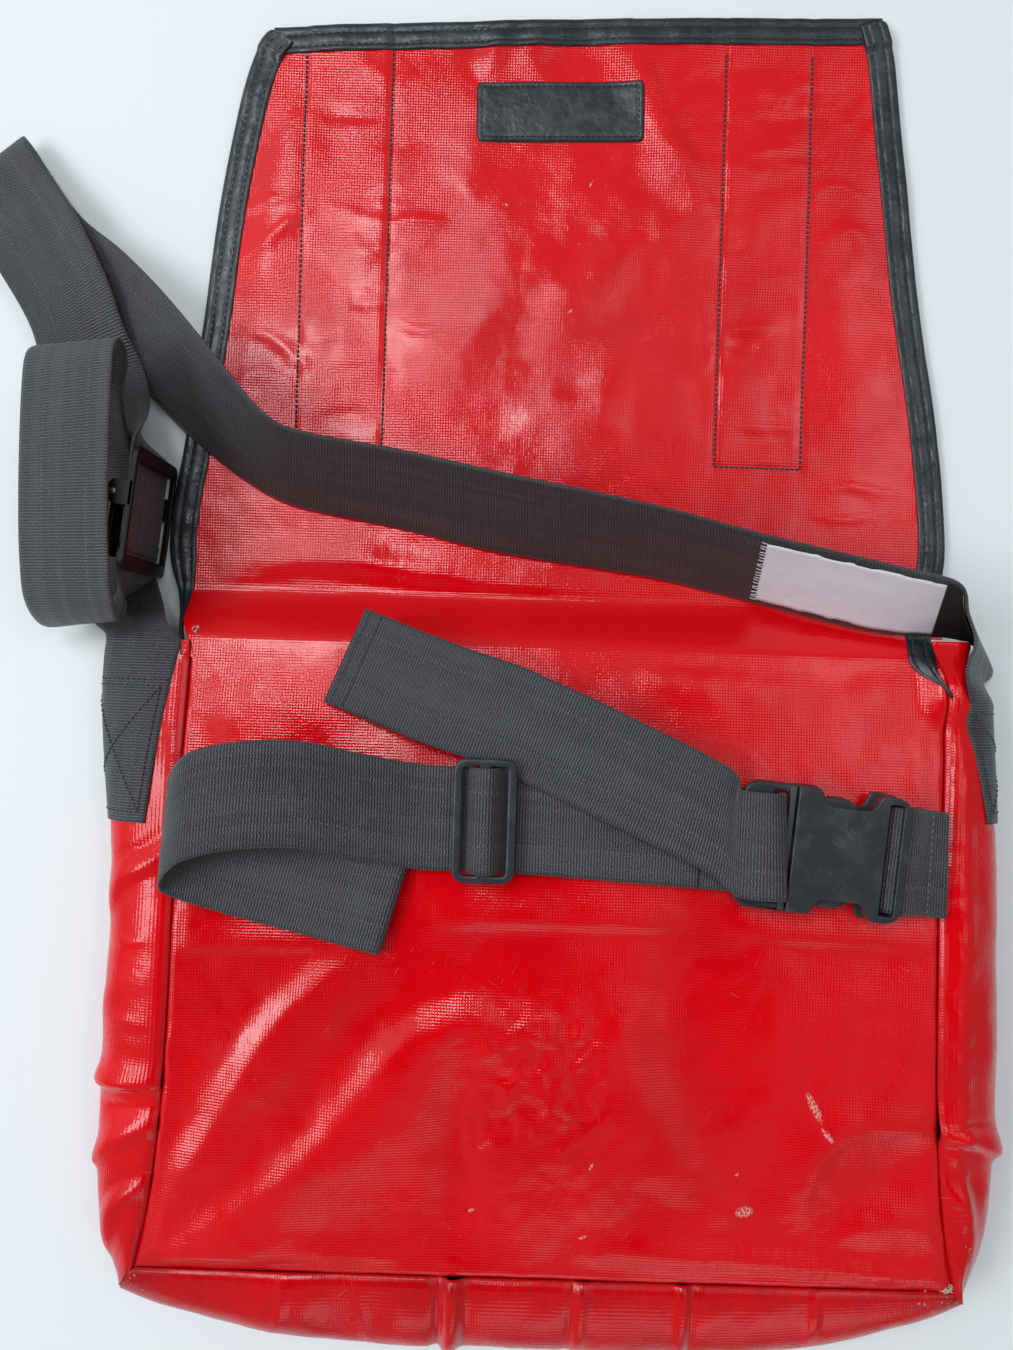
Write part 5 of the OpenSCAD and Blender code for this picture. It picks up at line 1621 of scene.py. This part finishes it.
def make_label(material, shade_sheet_cloth, white):
    """The bare label, a black sheet beyond its right end that is painted shade where the strap's inside lies
    in shadow, and the white stitches at its left end.
    """
    obj, part, up = strap_cover(
        "care_label_bare", "label_cloth", 2.5, 5.05, 1.15, 1.5, 2, material, 0.5, "care_label"
    )
    # a black sheet of painted shade, standing for the shadow inside the strap where it turns beyond the
    # label
    shade_sheet = strap_cover("strap_shade_sheet", "grip_tape", 1.6, 3.32, 1.6, 1.9, 1, shade_sheet_cloth, 0.0)[0]
    ends = part[-1] + up[-1] * 1.6
    past = ends + unit(part[-1] - part[-4]) * 3.0
    rng = np.random.default_rng(95)
    runs = []
    for inner, outer, normal in zip(ends, past, up[-1]):
        stitch = np.array([inner - (outer - inner) * 0.4, outer + rng.uniform(-0.6, 0.6, 3)])
        runs.append((stitch, np.array([normal, normal])))
    sewing("thread_label", runs, white, "bag", "label_cloth", radius=0.28, length=3.6, gap=0.4)


def sewing(name, runs, material, body, slot, **size):
    obj = stitch_mesh(name, runs, material, **size)
    attach(obj, slot, body)


# which way each strap's sewn face looks from its mesh normal
ANCHOR_OUT, SHOULDER_OUT, SHORT_OUT, TAIL_OUT = -1, 1, 1, -1


def seam_across(strap, at, outward):
    """One row of stitches across a strap, at a length along it."""
    return on_web(strap, straight((1, at), (WEB_W - 1, at)), outward)


def make_strap_stitches(straps, dark, grey):
    anchor = box_and_cross(straps["anchor"], 4, 44, 5, 64, ANCHOR_OUT)
    anchor.append(seam_across(straps["anchor"], 67, ANCHOR_OUT))
    shoulder = box_and_cross(straps["shoulder"], 4, 44, 5, 52, SHOULDER_OUT)
    for name, runs in (("thread_anchor", anchor), ("thread_shoulder", shoulder)):
        sewing(name, runs, dark, "bag", "webbing", radius=0.42, length=2.3, gap=0.4)
    short, tail = straps["short"], straps["tail"]
    end = [seam_across(short, short[3][-1] - 9.5, SHORT_OUT)]
    sewing("thread_short", end, grey, "bag", "webbing", length=1.6, gap=1.3)
    hem = [seam_across(tail, tail[3][-1] - back, TAIL_OUT) for back in (3.0, 9.0)]
    sewing("thread_tail", hem, dark, "plug", "webbing", length=2.0, gap=0.6)


# ---- frayed fibres where the coating has worn through ----

# each cluster: its line as pixels, how many fibres, how far they stray
FRAYS = [
    ([(134, 1269), (128, 1279), (131, 1289)], 30, 1.5), ([(131, 1289), (139, 1300), (147, 1290)], 34, 1.5),
    ([(916, 1306), (935, 1305), (955, 1304), (968, 1306)], 40, 1.1),
    ([(925, 1298), (945, 1292), (953, 1289)], 26, 1.2), ([(964, 1238), (966, 1246), (966, 1253)], 14, 0.8),
    ([(971, 1300), (974, 1304)], 8, 0.8), ([(196, 626), (198, 629)], 5, 0.6),
]
FIBRE_RADIUS = 0.27
FIBRE_POINTS = 5


def make_fraying(grids, material):
    """Short curled polyester fibres that lie on the worn corners."""
    points, faces = [], []
    for grid in grids:
        rows, cols = grid.shape[:2]
        faces += (grid_faces(rows, cols) + len(points)).tolist()
        points += grid.reshape(-1, 3).tolist()
    skin = BVHTree.FromPolygons(points, faces)
    rng = np.random.default_rng(97)
    parts = []
    for line, count, stray in FRAYS:
        line = through(line, 40)
        for _ in range(count):
            px, py = line[rng.integers(len(line))] + rng.normal(0, stray, 2)
            way = Vector((*seen(px, py, 0.0), 0.0)) - Vector(CAMERA_MM)
            start = skin.ray_cast(Vector(CAMERA_MM), way)[0]
            if start is None:
                continue
            x, y = start.x, start.y
            heading, bend = rng.uniform(0, 2 * np.pi), rng.normal(0, 0.7)
            length = rng.uniform(1.6, 4.2)
            lift = rng.uniform(0.1, 0.9)
            path = []
            for k in range(FIBRE_POINTS):
                hit = skin.ray_cast((x, y, 200), (0, 0, -1))[0]
                if hit is None:
                    break
                path.append((x, y, hit.z + 0.15 + lift * math.sin(math.pi * k / (FIBRE_POINTS - 1))))
                x += math.cos(heading) * length / (FIBRE_POINTS - 1)
                y += math.sin(heading) * length / (FIBRE_POINTS - 1)
                heading += bend
            if len(path) == FIBRE_POINTS:
                parts.append(tube(path, FIBRE_RADIUS, 5))
    obj = make_mesh("frayed_fibres", *joined(*parts), None, material)
    attach(obj, "tarpaulin", "bag")


RAW_LIP_SHARE, RAW_LIP_RADIUS = 0.24, 0.62


def make_raw_lip(grid, material):
    """The cut edge along the right gusset's free lip."""
    lip = grid[0, : int(grid.shape[1] * RAW_LIP_SHARE)]
    obj = make_mesh("gusset_raw_edge", *tube(lip - (0, 0, 0.4), RAW_LIP_RADIUS, 8), None, material)
    attach(obj, "tarpaulin", "bag")


# ---- materials in use, and the pieces made ----

tarp = tarp_material("tarpaulin", True)
plain_tarp = tarp_material("tarpaulin_sides", False)
hooks = tape_material("hook_tape", True)
loops = tape_material("loop_tape", False)
rubber = rubber_material()
# a near-black tape with no sheen, used as painted shade inside the strap beside the label
shade_sheet = tape_material("strap_shade_sheet", False, 0.016, 0.0)
webbing = webbing_material("webbing")
worn_webbing = webbing_material("webbing_worn", (150, 500))
plastic = plastic_material("buckle_plastic", (0.018, 0.020, 0.023, 1), (0.036, 0.039, 0.043, 1))
# the adjuster's own black, made much darker than the buckle as painted shade, since it sits inside the
# strap's loop
black_and_shaded_plastic = plastic_material("adjuster_plastic", (0.003, 0.003, 0.004, 1), (0.006, 0.006, 0.007, 1), 0.2)
steel = steel_material()
cream = label_material()
raw = edge_material()
thread = thread_material("thread", (0.006, 0.006, 0.007, 1), (0.035, 0.033, 0.036, 1))
grey_thread = thread_material("grey_thread", (0.10, 0.10, 0.105, 1), (0.22, 0.22, 0.23, 1))
fibre_thread = thread_material("fibre", (0.42, 0.33, 0.27, 1), (0.80, 0.72, 0.62, 1))
white_thread = thread_material("white_thread", (0.45, 0.45, 0.48, 1), (0.85, 0.85, 0.88, 1))

left_side = make_gusset(-1, plain_tarp)
right_side = make_gusset(1, plain_tarp)
foot = make_bottom(plain_tarp)
make_front(plain_tarp)
back = make_tarp_sheet(tarp)
make_raw_lip(right_side, raw)
make_fraying([left_side, right_side, foot, back], fibre_thread)
for side, x in zip(("left", "right"), GRIP_X):
    make_tape("loop_tape_" + side, "loop_strip_" + side, x, LOOP_Y, 0.0, 1.0, loops, "bag", 51)
    make_tape("hook_tape_" + side, "hook_strip_" + side, x, HOOK_Y, 0.1, 1.6, hooks, "flap", 52)
make_bindings(rubber, thread)
sewing("thread_hook_strips", hook_strip_stitches(), thread, "flap", "binding_rubber", radius=0.60,
       length=2.0, gap=0.45)
straps = make_straps(webbing, worn_webbing)
make_strap_stitches(straps, thread, grey_thread)
make_patch(rubber)
sewing("thread_patch", patch_stitches(), thread, "flap", "patch_rubber", radius=0.36, length=1.9, gap=0.7)
make_label(cream, shade_sheet, white_thread)
make_hardware(plastic, black_and_shaded_plastic, steel)


# ---- floor, light and picture ----

FLOOR_HALF = 3.0


def make_floor():
    """A flat floor, wide enough to fill the picture."""
    mesh = bpy.data.meshes.new("floor")
    r = FLOOR_HALF
    mesh.from_pydata([(-r, -r, 0), (r, -r, 0), (r, r, 0), (-r, r, 0)], [], [(0, 1, 2, 3)])
    obj = bpy.data.objects.new("floor", mesh)
    bpy.context.scene.collection.objects.link(obj)
    mesh.materials.append(floor_material())


LIGHT_COLOR, SKY_COLOR = (0.92, 0.96, 1.0), (0.93, 0.97, 1.0, 1)
# two lamps, a ceiling light and two windows: place, target and size in metres, power in watts
LIGHTS = [
    ("lamp", (-0.37, 0.80, 2.2), (0, 0.1, 0), (0.45, 0.45), 6.5),
    ("far_lamp", (-0.70, 1.25, 2.2), (0, 0.1, 0), (0.50, 0.50), 8.5),
    ("ceiling", (1.2, 1.0, 2.3), (0, 0.1, 0), (0.9, 0.9), 3.5),
    ("window", (-1.5, 0.1, 1.6), (0, 0, 0), (1.2, 0.6), 18.0),
    ("far_window", (0.4, -2.2, 1.2), (0, 0, 0), (1.5, 0.8), 4.0),
]
# The viewer leans over the bag, and the gloss mirrors that dark figure against the pale room, which
# is brighter towards its window and one wall: (direction, outer degrees, inner degrees, outside, inside)
VIEWER = ((-0.06, -0.17, 0.98), 21, 15, 1.0, 0.0)
WINDOW = ((-0.68, 0.30, 0.67), 50, 12, 0.28, 1.0)
WALL = ((0.42, 0.15, 0.90), 24, 8, 0.0, 0.7)


def area_light(name, place, target, size, power):
    data = bpy.data.lights.new(name, "AREA")
    data.shape = "RECTANGLE"
    data.size, data.size_y = size
    data.energy = power
    data.color = LIGHT_COLOR
    obj = bpy.data.objects.new(name, data)
    obj.location = place
    obj.rotation_euler = (Vector(target) - Vector(place)).to_track_quat("-Z", "Y").to_euler()
    bpy.context.scene.collection.objects.link(obj)


def sky_patch(nodes, way, outer, inner, outside, inside):
    """A number over the sky: outside beyond outer degrees from a direction, and inside within inner."""
    towards = (nodes.add("TexCoord")["Generated"], Vector(way).normalized())
    facing = nodes.made("VectorMath", towards, operation="DOT_PRODUCT")["Value"]
    low, high = (math.cos(math.radians(angle)) for angle in (outer, inner))
    return nodes.between(facing, low, high, outside, inside)


def make_light():
    """The lights in a pale room, where the viewer is dark."""
    world = bpy.data.worlds.new("studio")
    bpy.context.scene.world = world
    world.use_nodes = True
    nodes = Nodes(world.node_tree)
    viewer, window, wall = (sky_patch(nodes, *patch) for patch in (VIEWER, WINDOW, WALL))
    background = world.node_tree.nodes["Background"]
    nodes.feed(background.inputs["Color"], SKY_COLOR)
    nodes.feed(background.inputs["Strength"], nodes.times(viewer, nodes.total(window, wall)))
    for light in LIGHTS:
        area_light(*light)


make_floor()
make_light()
bpy.context.scene.view_settings.view_transform = "Standard"
